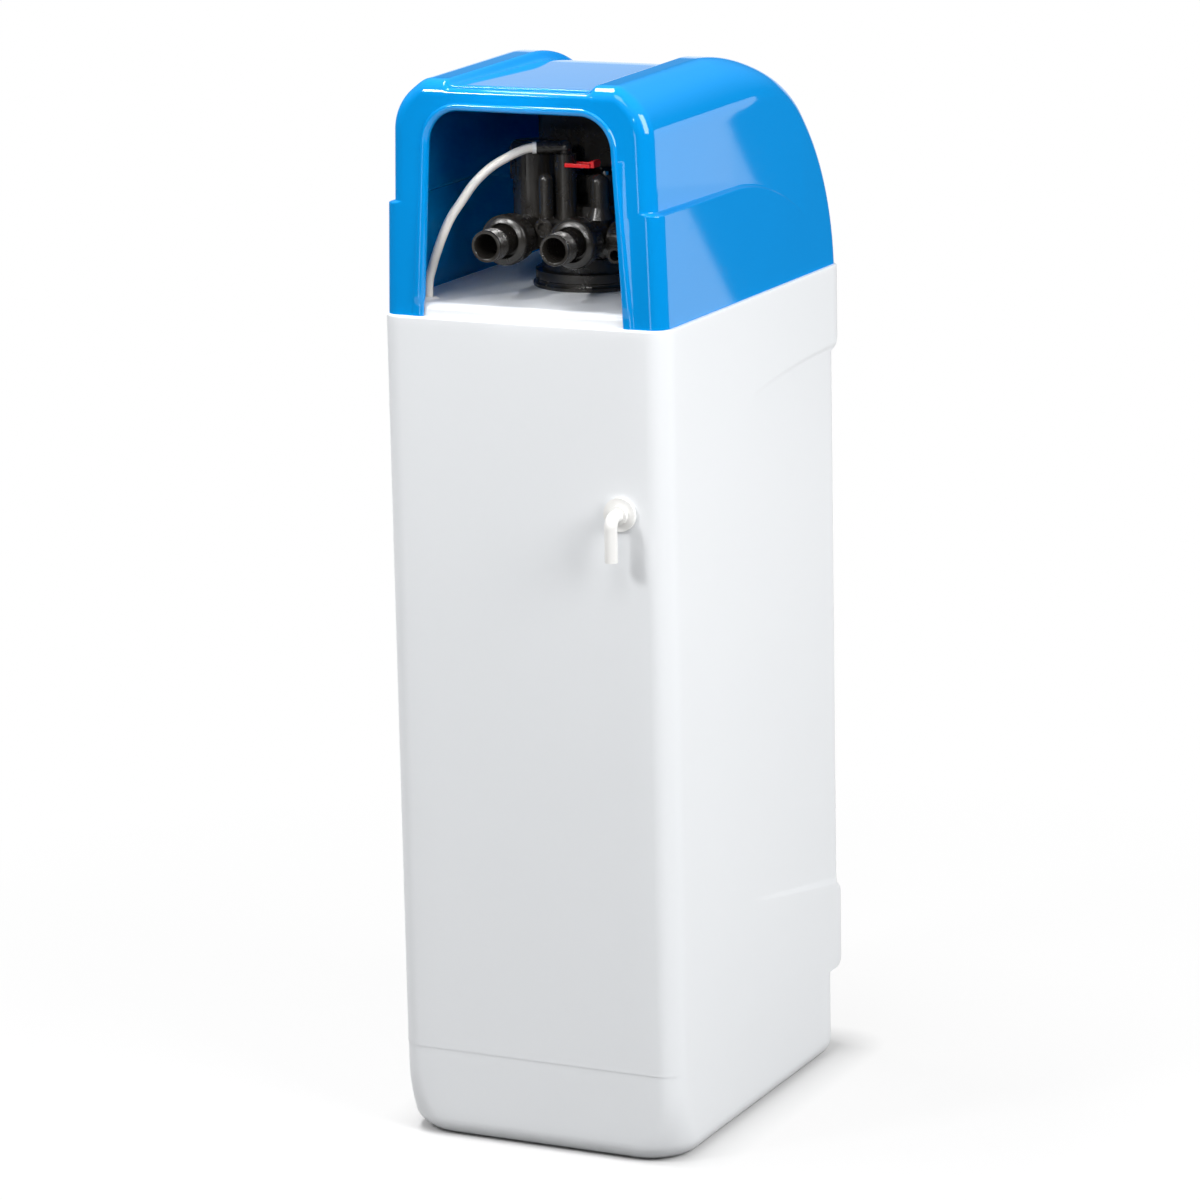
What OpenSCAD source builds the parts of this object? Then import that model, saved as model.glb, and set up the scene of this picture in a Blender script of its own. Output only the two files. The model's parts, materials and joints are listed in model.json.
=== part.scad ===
// Cabinet water softener with its control valve, resin vessel and brine gear.
// Millimetres, +Z up. The origin is the middle of the footprint, on the floor.
// The user stands in front, at -Y. The pipes leave at the rear, +Y.

/* [Cabinet] */
// Outside width of the cabinet
cabinet_w = 325; // [310:1:350]
// Outside depth of the cabinet
cabinet_d = 458; // [446:1:480]
// Height of the ledge that the hood stands on
ledge_z = 883; // [840:1:930]
// Wall of the blown cabinet
cabinet_wall = 3.5; // [3:0.5:4.5]
// Radius of the upright corners
corner_r = 24; // [22:1:28]
// Radius of the edge that meets the floor
floor_edge_r = 20; // [14:1:21]
// Height of the collar at the top of the front
collar_h = 92; // [80:1:110]
// Radius of the collar's lower edge
collar_edge_r = 14; // [10:1:18]
// Distance of the front panel behind the collar
panel_step = 16; // [12:1:20]
// Height of the foot below the front bulge
foot_h = 97; // [85:1:110]
// Distance of the foot behind the collar
foot_step = 36; // [30:1:40]
// Height of the bulge above the foot
bulge_h = 93; // [75:1:110]
// Distance of the bulge behind the collar
bulge_step = 5; // [3:1:8]
// Depth of the hollow in each side next to the front panel
side_relief = 3; // [2:0.5:4]

/* [Deck] */
// Height of the deck above the ledge
deck_step = 13.5; // [12:0.5:16]
// Distance of the deck's edge inside the cabinet's wall line
deck_inset = 8; // [7.5:0.5:9]
// Thickness of the deck
deck_t = 3.5; // [3:0.5:4]
// Radius of the deck's upper edge
deck_edge_r = 8; // [6:0.5:9]
// Width of the cabinet's rim that carries the deck
rim_w = 14; // [13:0.5:16]
// Thickness of that rim
rim_t = 4; // [3:0.5:6]
// Width of the salt opening
salt_w = 230; // [200:5:250]
// Distance of the salt opening behind the cabinet's front
salt_margin = 31; // [28:1:40]

/* [Hood] */
// Height of the hood above the ledge
hood_h = 242; // [238:1:256]
// Width of the ledge that shows round the hood
hood_inset = 4; // [3:0.5:5]
// Wall of the hood
hood_wall = 3; // [2.5:0.5:4]
// Radius of the hood's shoulders
shoulder_r = 52; // [46:1:58]
// Radius of the edges beside the dome
dome_edge_r = 17; // [14:1:22]
// Radius of the edge round the rear face
rear_edge_r = 16; // [12:1:20]
// Width of the sunk strip along the top
strip_w = 160; // [140:2:170]
// Depth of the sunk strip
strip_depth = 13; // [10:1:15]
// Slope of the strip's sides, as a width
strip_slope = 8; // [4:1:12]
// Height of the side step above the ledge
swage_z = 116.5; // [105:0.5:130]
// Depth of the side step at the rear
swage_depth = 6; // [4:0.5:7]
// Radius of the side step where it curves down
swage_r = 330; // [300:10:400]
// Width of the rear arch at its foot
arch_foot_w = 230; // [220:1:236]
// Width of the rear arch near its top
arch_top_w = 204; // [196:1:214]
// Height of the rear arch
arch_h = 210; // [204:1:214]
// Radius of the arch's upper corners
arch_r = 39; // [32:1:46]
// Width of the bevel round the arch
arch_bevel = 8; // [5:0.5:10]
// Width of the display window in the hood
window_w = 96; // [80:2:110]
// Length of the display window, as an angle round the dome
window_angle = 14; // [10:1:18]

/* [Resin vessel] */
// Outside diameter of the resin vessel
vessel_d = 232; // [220:1:236]
// Wall of the resin vessel
vessel_wall = 4; // [3:0.5:5]
// Outside diameter of the vessel's neck
neck_d = 90; // [86:1:92]
// Inside diameter of the vessel's neck
neck_bore_d = 66; // [62:1:68]
// Height of the neck's mouth above the ledge
neck_rise = 22; // [20:1:26]
// Distance of the vessel's axis in front of the cabinet's rear
vessel_inset = 173; // [171:1:178]
// Outside diameter of the riser tube
riser_d = 26.7; // [26:0.1:27.4]
// Level of the resin above the floor
resin_z = 560; // [450:10:650]

/* [Control valve] */
// Distance between the inlet and the outlet
port_spacing = 77; // [76:1:84]
// Height of the port axes above the ledge
port_rise = 76; // [74:1:80]
// Outside diameter of the threaded nipples
nipple_d = 33.2; // [32:0.1:34]
// Bore of the nipples and the ports
nipple_bore_d = 24; // [22:0.5:25]
// Length of the thread on a nipple
nipple_thread = 22; // [18:1:26]
// Distance of the nipple ends inside the rear of the cabinet
nipple_inset = 3; // [0:1:8]
// Diameter of the union nuts
nut_d = 51; // [50:1:54]
// Length of the union nuts
nut_len = 24; // [22:1:26]
// Outside diameter of the ports
port_d = 43.6; // [42:0.2:44.4]
// Diameter of the valve's foot flange
flange_d = 120; // [112:1:126]
// Diameter of the injector tower
tower_d = 45; // [42:0.5:46]
// Height of the injector tower above the ledge
tower_top = 131; // [126:1:136]
// Height of the injector cap
cap_h = 38; // [34:1:42]
// Diameter of the clip tower
clip_tower_d = 22; // [20:0.5:23]
// Height of the clip tower above the ledge
clip_tower_top = 159; // [156:1:160]
// Thickness of the retaining clip
clip_t = 4; // [3:0.5:5]
// Diameter of the drain nut
drain_nut_d = 44; // [40:1:46]
// Diameter of the drain spigot
drain_spigot_d = 16; // [14:0.5:18]

/* [Drive] */
// Module of the drive's teeth
gear_module = 1.5; // [1.4:0.05:1.6]
// Teeth of the drive gear
gear_teeth = 40; // [38:1:41]
// Teeth of the motor's pinion
pinion_teeth = 12; // [12:1:14]
// Face width of the teeth
gear_face = 8; // [6:0.5:9]
// Diameter of the disc shaft
shaft_d = 12; // [10:0.5:13]
// Diameter of the ceramic discs' chamber
chamber_d = 68; // [64:1:70]

/* [Control head] */
// Width of the control head
head_w = 116; // [112:1:124]
// Depth of the control head
head_d = 141; // [138:1:146]
// Distance of the head's rear behind the vessel's axis
head_setback = 10; // [8:1:14]
// Gap between the head's upper edge and the hood
head_gap = 7.3; // [6:0.1:12]
// Wall of the head's cover
head_wall = 2.5; // [2:0.25:3]
// Lean of the control panel, from level
panel_tilt = 55; // [50:1:60]
// Diameter of the push buttons
button_d = 10; // [8:0.5:11]
// Travel of the push buttons
button_travel = 1.2; // [0.8:0.1:1.5]

/* [Brine] */
// Outside diameter of the brine tube
tube_d = 9.5; // [9:0.1:10]
// Gap between the brine well and the vessel
well_gap = 5.4; // [4:0.2:8]
// Diameter of the float
float_d = 40; // [34:1:42]
// Diameter of the float's rod
rod_d = 6; // [5:0.5:7]
// Rise of the float
float_travel = 40; // [30:1:50]

/* [Overflow] */
// Distance of the overflow from the middle of the rear wall
overflow_x = 109; // [90:1:120]
// Height of the overflow above the floor
overflow_z = 693; // [640:1:730]
// Diameter of the overflow's stem
stem_d = 20; // [18:0.5:22]
// Diameter of the overflow's flange
overflow_flange_d = 35; // [32:1:38]
// Outside diameter of the overflow's spigot
spigot_d = 13.5; // [12:0.5:14]
// Length of the spigot below the stem's axis
spigot_len = 45; // [40:1:52]

/* [Fits] */
// Radial gap of a shaft that runs in a bore
running_gap = 0.05; // [0.03:0.01:0.08]
// Gap round a piece that is placed loosely
loose_gap = 0.4; // [0.3:0.05:0.6]

/* [Hidden] */
$fn = 96;

// A cut reaches this far past the face that it opens
cut = 1;

// Planes of the cabinet
rear_y = cabinet_d / 2;
vessel_y = rear_y - vessel_inset;
bulge_top = foot_h + bulge_h;
collar_z = ledge_z - collar_h;
bulge_edge_r = 10;
// The foot is drawn in this far, which leaves a fine line round the cabinet
foot_seam = 0.4;
// The line under the collar sweeps down along the sides and fades out
sweep_r = 1400;
sweep_y = -190;
sweep_end_y = 56;
sweep_rise = 50;

// Deck
deck_z = ledge_z + deck_step;
salt_rear_y = vessel_y - vessel_d / 2 - 22;
salt_d = salt_rear_y + rear_y - salt_margin;
salt_y = salt_rear_y - salt_d / 2;
skirt_h = 12;
salt_corner_r = 18;

// Hood: the dome turns about this line, level with the ledge
hood_w = cabinet_w - 2 * hood_inset;
hood_rear_y = rear_y - hood_inset;
dome_y = hood_h - hood_rear_y;
// The sunk strip gets shallower down the dome, to this depth at its foot
strip_foot_depth = 0.5;
strip_y = dome_y - strip_depth + strip_foot_depth;
relief_end_y = -140;
swage_turn_y = 40;
ridge_r = 6;
// The straight shoulders stand this far outside the sides, which they meet at a fine crease
shoulder_ease = 0.4;
frame_w = 9;
frame_d = 10;
// The frame behind the arch ends above the deck's edge
frame_foot = deck_step + 2;
window_middle = 46;
window_flange = 4;
window_flange_t = 2;

// Vessel
vessel_r = vessel_d / 2;
vessel_foot_z = 18;
dome_rise = vessel_r / 2;
neck_z = ledge_z + neck_rise;
vessel_top_z = ledge_z + 7;
boot_t = 4;
boot_top_z = 60;
basket_d = 50;
basket_h = 52;
basket_z = vessel_foot_z + vessel_wall + 2.5;

// Valve: ports, towers and the disc chamber
port_z = ledge_z + port_rise;
port_x = port_spacing / 2;
nipple_y = rear_y - nipple_inset;
nut_y = nipple_y - nipple_thread - 20;
port_end_y = nut_y - 12;
nut_clear_d = nipple_d - 2;
collar_d = port_d - 4;
flange_t = 9;
neck_collar_d = 106;
neck_collar_h = 15;
trunk_d = 88;
trunk_top = ledge_z + 100;
tower_xy = [38, vessel_y + 56];
slim_xy = [10, vessel_y + 87];
slim_d = 15;
slim_top = ledge_z + 141;
clip_xy = [-4.5, vessel_y + 69.4];
vent_xy = [-46, vessel_y + 76];
vent_d = 19;
vent_top = ledge_z + 141;
plug_x = 7;
plug_z = port_z + 10;
plug_d = 20;
plug_y = vessel_y + 96;
drain_y = vessel_y + 72;
drain_z = ledge_z + 70;
drain_out = 21.5;
drain_x = -port_x - drain_out;
drain_nut_len = 22;
drain_boss_d = 34;
drain_bend = 13;
drain_end_x = drain_x - drain_nut_len - drain_bend;
drain_tip_y = vessel_y + 146;
disc_y = vessel_y - 26;
disc_t = 8;
chamber_rise = 96;
chamber_h = 26;
chamber_z = ledge_z + chamber_rise;
chamber_top = chamber_z + chamber_h;
chamber_wall = 8;
disc_z = chamber_z + disc_t;
shaft_flange_z = disc_z + disc_t;
shaft_flange_t = 4;
bonnet_d = chamber_d + 2 * chamber_wall + 14;
bonnet_t = 8;
bonnet_z = chamber_top;
screw_circle_r = (bonnet_d - 11) / 2;
screw_d = 5;
hub_d = 40;
hub_rise = 16;
hub_top = chamber_top + hub_rise;
disc_ports = 6;
disc_port_d = 13;
disc_port_r = 21;

// Drive
gear_pressure_angle = 20;
gear_backlash = 0.2;
gear_rise = 7;
gear_z = hub_top + gear_rise;
gear_r = gear_module * gear_teeth / 2;
gear_gap = gear_module * (gear_teeth + pinion_teeth) / 2;
pinion_y = disc_y - gear_gap;
motor_d = 37;
motor_shaft_d = 6;
motor_flange_z = gear_z + gear_face + 4;
motor_flange_t = 3;
motor_h = 28;
motor_ear_x = 25;

// Head
head_floor = ledge_z + 142;
head_floor_t = 4;
head_rear_y = vessel_y + head_setback;
head_front_y = head_rear_y - head_d;
// The head reaches up to the strip's underside above the panel's upper edge
head_edge_y = head_front_y + 42;
head_top = sqrt(pow(hood_h - strip_depth, 2) - pow(strip_y - head_edge_y, 2)) - hood_wall - head_gap;
slope_z = ledge_z + 155;
slope_len = (ledge_z + head_top - slope_z) / sin(panel_tilt);
panel_y = head_front_y + slope_len / 2 * cos(panel_tilt);
panel_z = slope_z + slope_len / 2 * sin(panel_tilt);
head_corner_r = 8;
panel_w = 104;
panel_h = slope_len - 10.5;
panel_t = 3;
panel_post = 10;
lens_w = 62;
lens_h = 0.406 * panel_h;
lens_y = 0.1875 * panel_h;
button_y = -0.25 * panel_h;
button_pitch = 22;
button_proud = 2.5;
board_t = 1.6;

// Brine gear
// The well fills the corner between the vessel, the side wall and the rear wall
well_side_gap = 11;
well_rear_gap = 9.5;
well_side = cabinet_w / 2 - cabinet_wall - well_side_gap;
well_rear = rear_y - cabinet_wall - well_rear_gap - vessel_y;
well_reach = vessel_r + well_gap;
well_sum = well_side + well_rear + well_reach;
well_r = well_sum - sqrt(pow(well_sum, 2) - pow(well_side, 2) - pow(well_rear, 2) + pow(well_reach, 2));
well_d = 2 * well_r;
well_xy = [well_side - well_r, vessel_y + well_rear - well_r];
well_wall = 3;
well_top = ledge_z - 16;
tube_xy = well_xy + well_r * [0.325, 0.5];
tube_foot_z = 128;
float_xy = well_xy - well_r * [0.175, 0.275];
float_z = 420;
float_h = 64;
brine_valve_h = 100;
grommet_lip = 4;
// The brine elbow stands in the clip tower and points at the place where its tube enters the well
fitting_d = 13;
fitting_len = 29.8;
fitting_z = ledge_z + 166;
fitting_turn = atan2(tube_xy[1] - clip_xy[1], tube_xy[0] - clip_xy[0]);
fitting_dir = [cos(fitting_turn), sin(fitting_turn)];
fitting_xy = clip_xy + fitting_len * fitting_dir;
spigot_depth = 22;
socket_len = 8.3;
collet_len = 4;
// Route of the brine tube: share of the way from the elbow's mouth to the well, and height above the ledge
tube_span = norm(tube_xy - fitting_xy);
tube_bend = [
  [0.144, 163], [0.278, 156], [0.415, 146.7], [0.56, 131.6], [0.679, 113.3], [0.792, 94.2], [0.886, 70.1],
  [0.961, 45], [1, 21]
];
tube_route = concat(
  [[-socket_len, 166], [collet_len + 1, 166]],
  [for (p = tube_bend) [p[0] * tube_span, p[1]]]
);
tube_sides = 10;
tube_drop_step = 27;

// Overflow
overflow_reach = 24;
overflow_bend = 10;
overflow_flange_t = 4;
overflow_seal_t = 3;
overflow_nut_t = 9;
overflow_nut_d = 36;

// Flat shape with round corners
module round_rect(w, d, r) {
  square([w - 2 * r, d], center = true);
  square([w, d - 2 * r], center = true);
  for (sx = [-1, 1], sy = [-1, 1])
    translate([sx * (w / 2 - r), sy * (d / 2 - r)])
      circle(r);
}

// Strip of width w and height h whose outer lower corner is round
module edge_profile(w, h, e) {
  difference() {
    square([w, h]);
    translate([w - e, 0])
      difference() {
        translate([0, -cut])
          square([e + cut, e + cut]);
        translate([0, e])
          circle(e);
      }
  }
}

// The same strip on both sides of the middle
module wall_profile(w, h, e) {
  for (s = [0, 1])
    mirror([s, 0])
      edge_profile(w / 2, h, e);
}

// Box with upright corners of radius r and a lower edge of radius e
module soft_box(w, d, h, r, e) {
  rotate([90, 0, 90])
    linear_extrude(w - 2 * r, center = true)
      wall_profile(d, h, e);
  rotate([90, 0, 0])
    linear_extrude(d - 2 * r, center = true)
      wall_profile(w, h, e);
  for (k = [0:3]) {
    sx = k == 0 || k == 3 ? 1 : -1;
    sy = k < 2 ? 1 : -1;
    translate([sx * (w / 2 - r), sy * (d / 2 - r), 0])
      rotate([0, 0, 90 * k])
        rotate_extrude(angle = 90)
          edge_profile(r, h, e);
  }
}

// Level slice of the cabinet from z0 to z1, standing step behind the collar and drawn in by i
module cabinet_slice(step, z0, z1, i) {
  translate([0, step / 2, z0])
    linear_extrude(z1 - z0)
      round_rect(cabinet_w - 2 * i, cabinet_d - step - 2 * i, corner_r - i);
}

// Wedge that rounds a front's lower edge at height z0, for a front that stands step behind the collar
module front_edge_cut(step, z0, e, i) {
  front = step + i - rear_y;
  arc = [for (k = [0:8]) [front + e - e * sin(90 - 11.25 * k), z0 + e - e * cos(90 - 11.25 * k)]];
  rotate([90, 0, 90])
    linear_extrude(2 * cabinet_w, center = true)
      polygon(concat(
        arc,
        [[front + e, z0 - cut], [front - cut, z0 - cut], [front - cut, z0 + e]]
      ));
}

// Hollow in one side that fades out towards the rear, under the swept line
module side_hollow(i) {
  half_w = cabinet_w / 2 - i;
  intersection() {
    linear_extrude(ledge_z)
      polygon([
        [half_w, sweep_end_y],
        [half_w + i + cut, sweep_end_y],
        [half_w + i + cut, -rear_y - cut],
        [half_w - side_relief, -rear_y - cut]
      ]);
    rotate([90, 0, 90])
      linear_extrude(cabinet_w)
        intersection() {
          translate([sweep_y, collar_z - sweep_r + 4])
            circle(sweep_r + i, $fn = 360);
          polygon([
            [-rear_y - 2 * cut, bulge_top - i],
            [sweep_end_y, bulge_top + sweep_rise - i],
            [sweep_end_y, ledge_z],
            [-rear_y - 2 * cut, ledge_z]
          ]);
        }
  }
}

// Outside form of the cabinet, drawn in by i, with its top at z1
module cabinet_form(i, z1) {
  foot_in = i + foot_seam;
  foot_top = foot_h + i;
  bulge_end = bulge_top - i;
  collar_start = collar_z + i;
  difference() {
    union() {
      translate([0, foot_step / 2, i])
        soft_box(cabinet_w - 2 * foot_in, cabinet_d - foot_step - 2 * foot_in, foot_top - i,
          corner_r - foot_in, floor_edge_r - foot_in);
      difference() {
        cabinet_slice(bulge_step, foot_top, bulge_end, i);
        front_edge_cut(bulge_step, foot_top, bulge_edge_r - i, i);
        translate([0, 0, foot_top + bulge_end])
          mirror([0, 0, 1])
            front_edge_cut(bulge_step, foot_top, bulge_edge_r - i, i);
      }
      cabinet_slice(panel_step, bulge_end, collar_start, i);
      difference() {
        cabinet_slice(0, collar_start, z1, i);
        front_edge_cut(0, collar_start, collar_edge_r - i, i);
      }
    }
    for (s = [0, 1])
      mirror([s, 0, 0])
        side_hollow(i);
  }
}

module cabinet_shell() {
  color("whitesmoke")
    difference() {
      cabinet_form(0, ledge_z);
      cabinet_form(cabinet_wall, ledge_z - rim_t);
      translate([0, 0, ledge_z - rim_t - cut])
        linear_extrude(rim_t + 2 * cut)
          round_rect(cabinet_w - 2 * rim_w, cabinet_d - 2 * rim_w, corner_r - rim_w);
      translate([-overflow_x, rear_y, overflow_z])
        rotate([90, 0, 0])
          cylinder(d = stem_d + 2 * running_gap, h = 4 * cabinet_wall, center = true);
    }
}

// Tray of the deck drawn in by i below its top, upside down
module deck_form(i, h) {
  inset = deck_inset + i;
  translate([0, 0, h])
    mirror([0, 0, 1])
      soft_box(cabinet_w - 2 * inset, cabinet_d - 2 * inset, h, corner_r - inset, deck_edge_r - i);
}

module deck() {
  skirt_in = rim_w + loose_gap;
  color("white")
    difference() {
      union() {
        translate([0, 0, ledge_z])
          difference() {
            deck_form(0, deck_step);
            translate([0, 0, -cut])
              deck_form(deck_t, deck_step - deck_t + cut);
          }
        translate([0, 0, ledge_z - skirt_h])
          linear_extrude(skirt_h + deck_step - deck_t)
            difference() {
              round_rect(cabinet_w - 2 * skirt_in, cabinet_d - 2 * skirt_in, corner_r - skirt_in);
              square([cabinet_w, cabinet_d] - 2 * (skirt_in + deck_t) * [1, 1], center = true);
            }
      }
      translate([0, vessel_y, ledge_z])
        cylinder(d = neck_d + 8, h = deck_step + cut);
      translate([0, salt_y, ledge_z])
        linear_extrude(deck_step + cut)
          round_rect(salt_w, salt_d, salt_corner_r);
      translate([tube_xy[0], tube_xy[1], ledge_z])
        cylinder(d = tube_d + 2 * grommet_lip, h = deck_step + cut);
    }
}

// Section across the hood: width w, height h, shoulders s, reaching under below the ledge
module hood_section(w, h, s, under) {
  translate([-w / 2, -under])
    square([w, h - s + under]);
  translate([-(w / 2 - s), -under])
    square([w - 2 * s, h + under]);
  for (sx = [-1, 1])
    translate([sx * (w / 2 - s), h - s])
      circle(s);
}

// Quarter disc that rounds an edge
module quarter_disc(e) {
  intersection() {
    circle(e);
    square(e);
  }
}

// Sweeps a section of the hood forward from the rear plane y1, then down a dome about the line at y0
module hood_sweep(y0, y1, extra_angle) {
  translate([0, y1, 0])
    rotate([90, 0, 0])
      linear_extrude(y1 - y0)
        children();
  translate([0, y0, 0])
    rotate([0, 90, 0])
      rotate([0, 0, 180])
        rotate_extrude(angle = 90 + extra_angle)
          intersection() {
            rotate(-90)
              children();
            translate([0, -cabinet_w])
              square(2 * cabinet_w);
          }
}

// Sunk strip along the top, drawn in by i
module strip_section(i) {
  floor_z = hood_h - strip_depth - i;
  half = strip_w / 2 + i;
  polygon([
    [-half, floor_z],
    [half, floor_z],
    [half + strip_slope + strip_slope / 2, floor_z + strip_depth * 1.5],
    [-half - strip_slope - strip_slope / 2, floor_z + strip_depth * 1.5]
  ]);
}

// Flat in one side of the hood above the swage, drawn in by i
module side_flat(i) {
  half_w = hood_w / 2 - i;
  intersection() {
    linear_extrude(2 * hood_h)
      polygon([
        [half_w - swage_depth, hood_rear_y + cut],
        [half_w + i + cut, hood_rear_y + cut],
        [half_w + i + cut, relief_end_y],
        [half_w, relief_end_y]
      ]);
    rotate([90, 0, 90])
      linear_extrude(cabinet_w)
        difference() {
          translate([-rear_y, 0])
            square([2 * rear_y + 2 * cut, 2 * hood_h - cut]);
          translate([swage_turn_y, -cut])
            square([cabinet_d, swage_z - i + cut]);
          translate([swage_turn_y, swage_z - i - swage_r])
            circle(swage_r, $fn = 360);
        }
  }
}

// Closed form of the hood above the ledge, drawn in by i
module hood_form(i, under) {
  w = hood_w - 2 * i;
  h = hood_h - i;
  s = shoulder_r - i;
  e = rear_edge_r - i;
  y1 = hood_rear_y - i;
  extra_angle = atan(under / h);
  difference() {
    union() {
      intersection() {
        hood_sweep(dome_y, y1 - e, extra_angle)
          hood_section(w, h, dome_edge_r - i, under);
        translate([0, y1 - e + cut, 0])
          rotate([90, 0, 0])
            linear_extrude(cabinet_d + 2 * cut)
              hood_section(w + 2 * shoulder_ease, h + shoulder_ease, s + shoulder_ease, under + cut);
      }
      translate([0, y1, 0])
        rotate([90, 0, 0])
          linear_extrude(e)
            hood_section(w - 2 * e, h - e, s - e, under);
      for (k = [0, 1])
        mirror([k, 0, 0]) {
          translate([w / 2 - e, y1 - e, -under])
            linear_extrude(h - s + under)
              quarter_disc(e);
          translate([w / 2 - s, y1 - e, h - s])
            rotate([-90, 0, 0])
              rotate([0, 0, -90])
                rotate_extrude(angle = 90)
                  translate([s - e, 0])
                    quarter_disc(e);
        }
      translate([-(w / 2 - s), y1 - e, h - e])
        rotate([90, 0, 90])
          linear_extrude(w - 2 * s)
            quarter_disc(e);
    }
    hood_sweep(strip_y, hood_rear_y + cut, 1)
      strip_section(i);
    for (k = [0, 1])
      mirror([k, 0, 0])
        side_flat(i);
  }
}

// Outline of the rear arch, grown by g
module arch_outline(g) {
  half_foot = arch_foot_w / 2 + g;
  half_top = arch_top_w / 2 + g;
  r = arch_r + g;
  hull() {
    for (s = [-1, 1])
      translate([s * (half_top - r), arch_h + g - r])
        circle(r, $fn = 48);
    translate([-half_foot, -cut])
      square([2 * half_foot, cut]);
  }
}

// Solid of the arch from y0 to y1
module arch_solid(g, y0, y1) {
  translate([0, y1, 0])
    rotate([90, 0, 0])
      linear_extrude(y1 - y0)
        arch_outline(g);
}

// Bevel that opens the arch towards the rear
module arch_bevel_cut() {
  hull() {
    arch_solid(-arch_bevel / 2, hood_rear_y - arch_bevel - 0.1, hood_rear_y - arch_bevel);
    arch_solid(arch_bevel / 2 + cut, hood_rear_y + cut, hood_rear_y + cut + 0.1);
  }
}

// Piece of the sunk strip's floor between two radii, grown by g on every side
module window_piece(r0, r1, g) {
  grow_angle = g / hood_h * 180 / PI;
  first = window_middle - window_angle / 2 - grow_angle;
  translate([0, strip_y, 0])
    rotate([0, 90, 0])
      rotate([0, 0, 180 + first])
        rotate_extrude(angle = window_angle + 2 * grow_angle)
          translate([r0, -window_w / 2 - g])
            square([r1 - r0, window_w + 2 * g]);
}

module hood() {
  strip_r = hood_h - strip_depth;
  color("dodgerblue")
    translate([0, 0, ledge_z])
      difference() {
        union() {
          difference() {
            hood_form(0, 0);
            hood_form(hood_wall, cut);
          }
          translate([-strip_w / 2, hood_rear_y - ridge_r, strip_r - ridge_r / 2])
            rotate([0, 90, 0])
              cylinder(r = ridge_r, h = strip_w);
          intersection() {
            arch_solid(frame_w, hood_rear_y - frame_d, hood_rear_y - hood_wall / 2);
            translate([hood_wall - hood_w / 2, -rear_y, frame_foot])
              cube([hood_w - 2 * hood_wall, cabinet_d, hood_h - frame_foot]);
          }
        }
        arch_solid(-arch_bevel / 2, hood_rear_y - 3 * frame_d, hood_rear_y + cut);
        arch_bevel_cut();
        window_piece(strip_r - 3 * hood_wall, strip_r + cut, loose_gap);
      }
}

module display_window() {
  strip_r = hood_h - strip_depth;
  color("dimgray")
    translate([0, 0, ledge_z]) {
      window_piece(strip_r - hood_wall, strip_r, 0);
      window_piece(strip_r - hood_wall - window_flange_t, strip_r - hood_wall, window_flange);
    }
}

module tube_grommet() {
  hole_d = tube_d + 2 * grommet_lip;
  color("dimgray")
    translate([tube_xy[0], tube_xy[1], deck_z])
      rotate_extrude()
        polygon([
          [tube_d / 2 + loose_gap, -deck_t],
          [hole_d / 2 - loose_gap, -deck_t],
          [hole_d / 2 - loose_gap, 0],
          [hole_d / 2 + grommet_lip / 2, 0],
          [tube_d / 2 + grommet_lip / 2, grommet_lip / 2],
          [tube_d / 2 + loose_gap, grommet_lip / 2]
        ]);
}

// Points along an arc of an ellipse, as radius and height
function ellipse_arc(rx, rz, z, from, to, steps) =
  [for (k = [0:steps]) let (a = from + (to - from) * k / steps) [rx * cos(a), z + rz * sin(a)]];

// Half section of the vessel drawn in by i, closed at its axis
function vessel_outline(i, neck_r, top) = concat(
  [[0, vessel_foot_z + i]],
  ellipse_arc(vessel_r - i, dome_rise - i, vessel_foot_z + dome_rise, -84, 0, 12),
  ellipse_arc(vessel_r - i, dome_rise - i, vessel_top_z - dome_rise, 0,
    acos(neck_r / (vessel_r - i)), 10),
  [[neck_r, top], [0, top]]
);

module pressure_vessel() {
  color("steelblue")
    translate([0, vessel_y, 0])
      rotate_extrude()
        difference() {
          polygon(vessel_outline(0, neck_d / 2, neck_z));
          polygon(vessel_outline(vessel_wall, neck_bore_d / 2, neck_z + cut));
        }
}

module vessel_boot() {
  // The ring's inner edge meets the dome at the height of the ring's top
  seat_r = vessel_r * sqrt(1 - pow((vessel_foot_z + dome_rise - boot_top_z) / dome_rise, 2));
  color("darkslategray")
    translate([0, vessel_y, cabinet_wall])
      difference() {
        cylinder(r = seat_r + boot_t, h = boot_top_z - cabinet_wall);
        translate([0, 0, -cut])
          cylinder(r = seat_r, h = boot_top_z);
      }
}

module resin_bed() {
  color("goldenrod")
    translate([0, vessel_y, 0])
      difference() {
        intersection() {
          rotate_extrude()
            polygon(vessel_outline(vessel_wall + loose_gap, neck_bore_d / 2, neck_z));
          cylinder(r = vessel_r, h = resin_z);
        }
        cylinder(d = riser_d + 2 * loose_gap, h = resin_z + cut);
        cylinder(d = basket_d + 2 * loose_gap, h = basket_z + basket_h + 1);
      }
}

module riser_tube() {
  foot = basket_z + basket_h - 21;
  color("white")
    translate([0, vessel_y, foot])
      difference() {
        cylinder(d = riser_d, h = ledge_z + 40 - foot);
        translate([0, 0, -cut])
          cylinder(d = riser_d - 5, h = ledge_z + 40 - foot + 2 * cut);
      }
}

// Basket with upright slots, closed at its foot, that takes the riser at its top
module slotted_basket(d, h, slots) {
  difference() {
    cylinder(d = d, h = h);
    translate([0, 0, 3])
      cylinder(d = d - 6, h = h - 11);
    translate([0, 0, h - 9])
      cylinder(d = riser_d + 2 * running_gap, h = 10);
    for (k = [0:slots - 1])
      rotate([0, 0, 360 * k / slots])
        translate([d / 2 - 5, -0.5, 8])
          cube([10, 1, h - 24]);
  }
}

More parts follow.
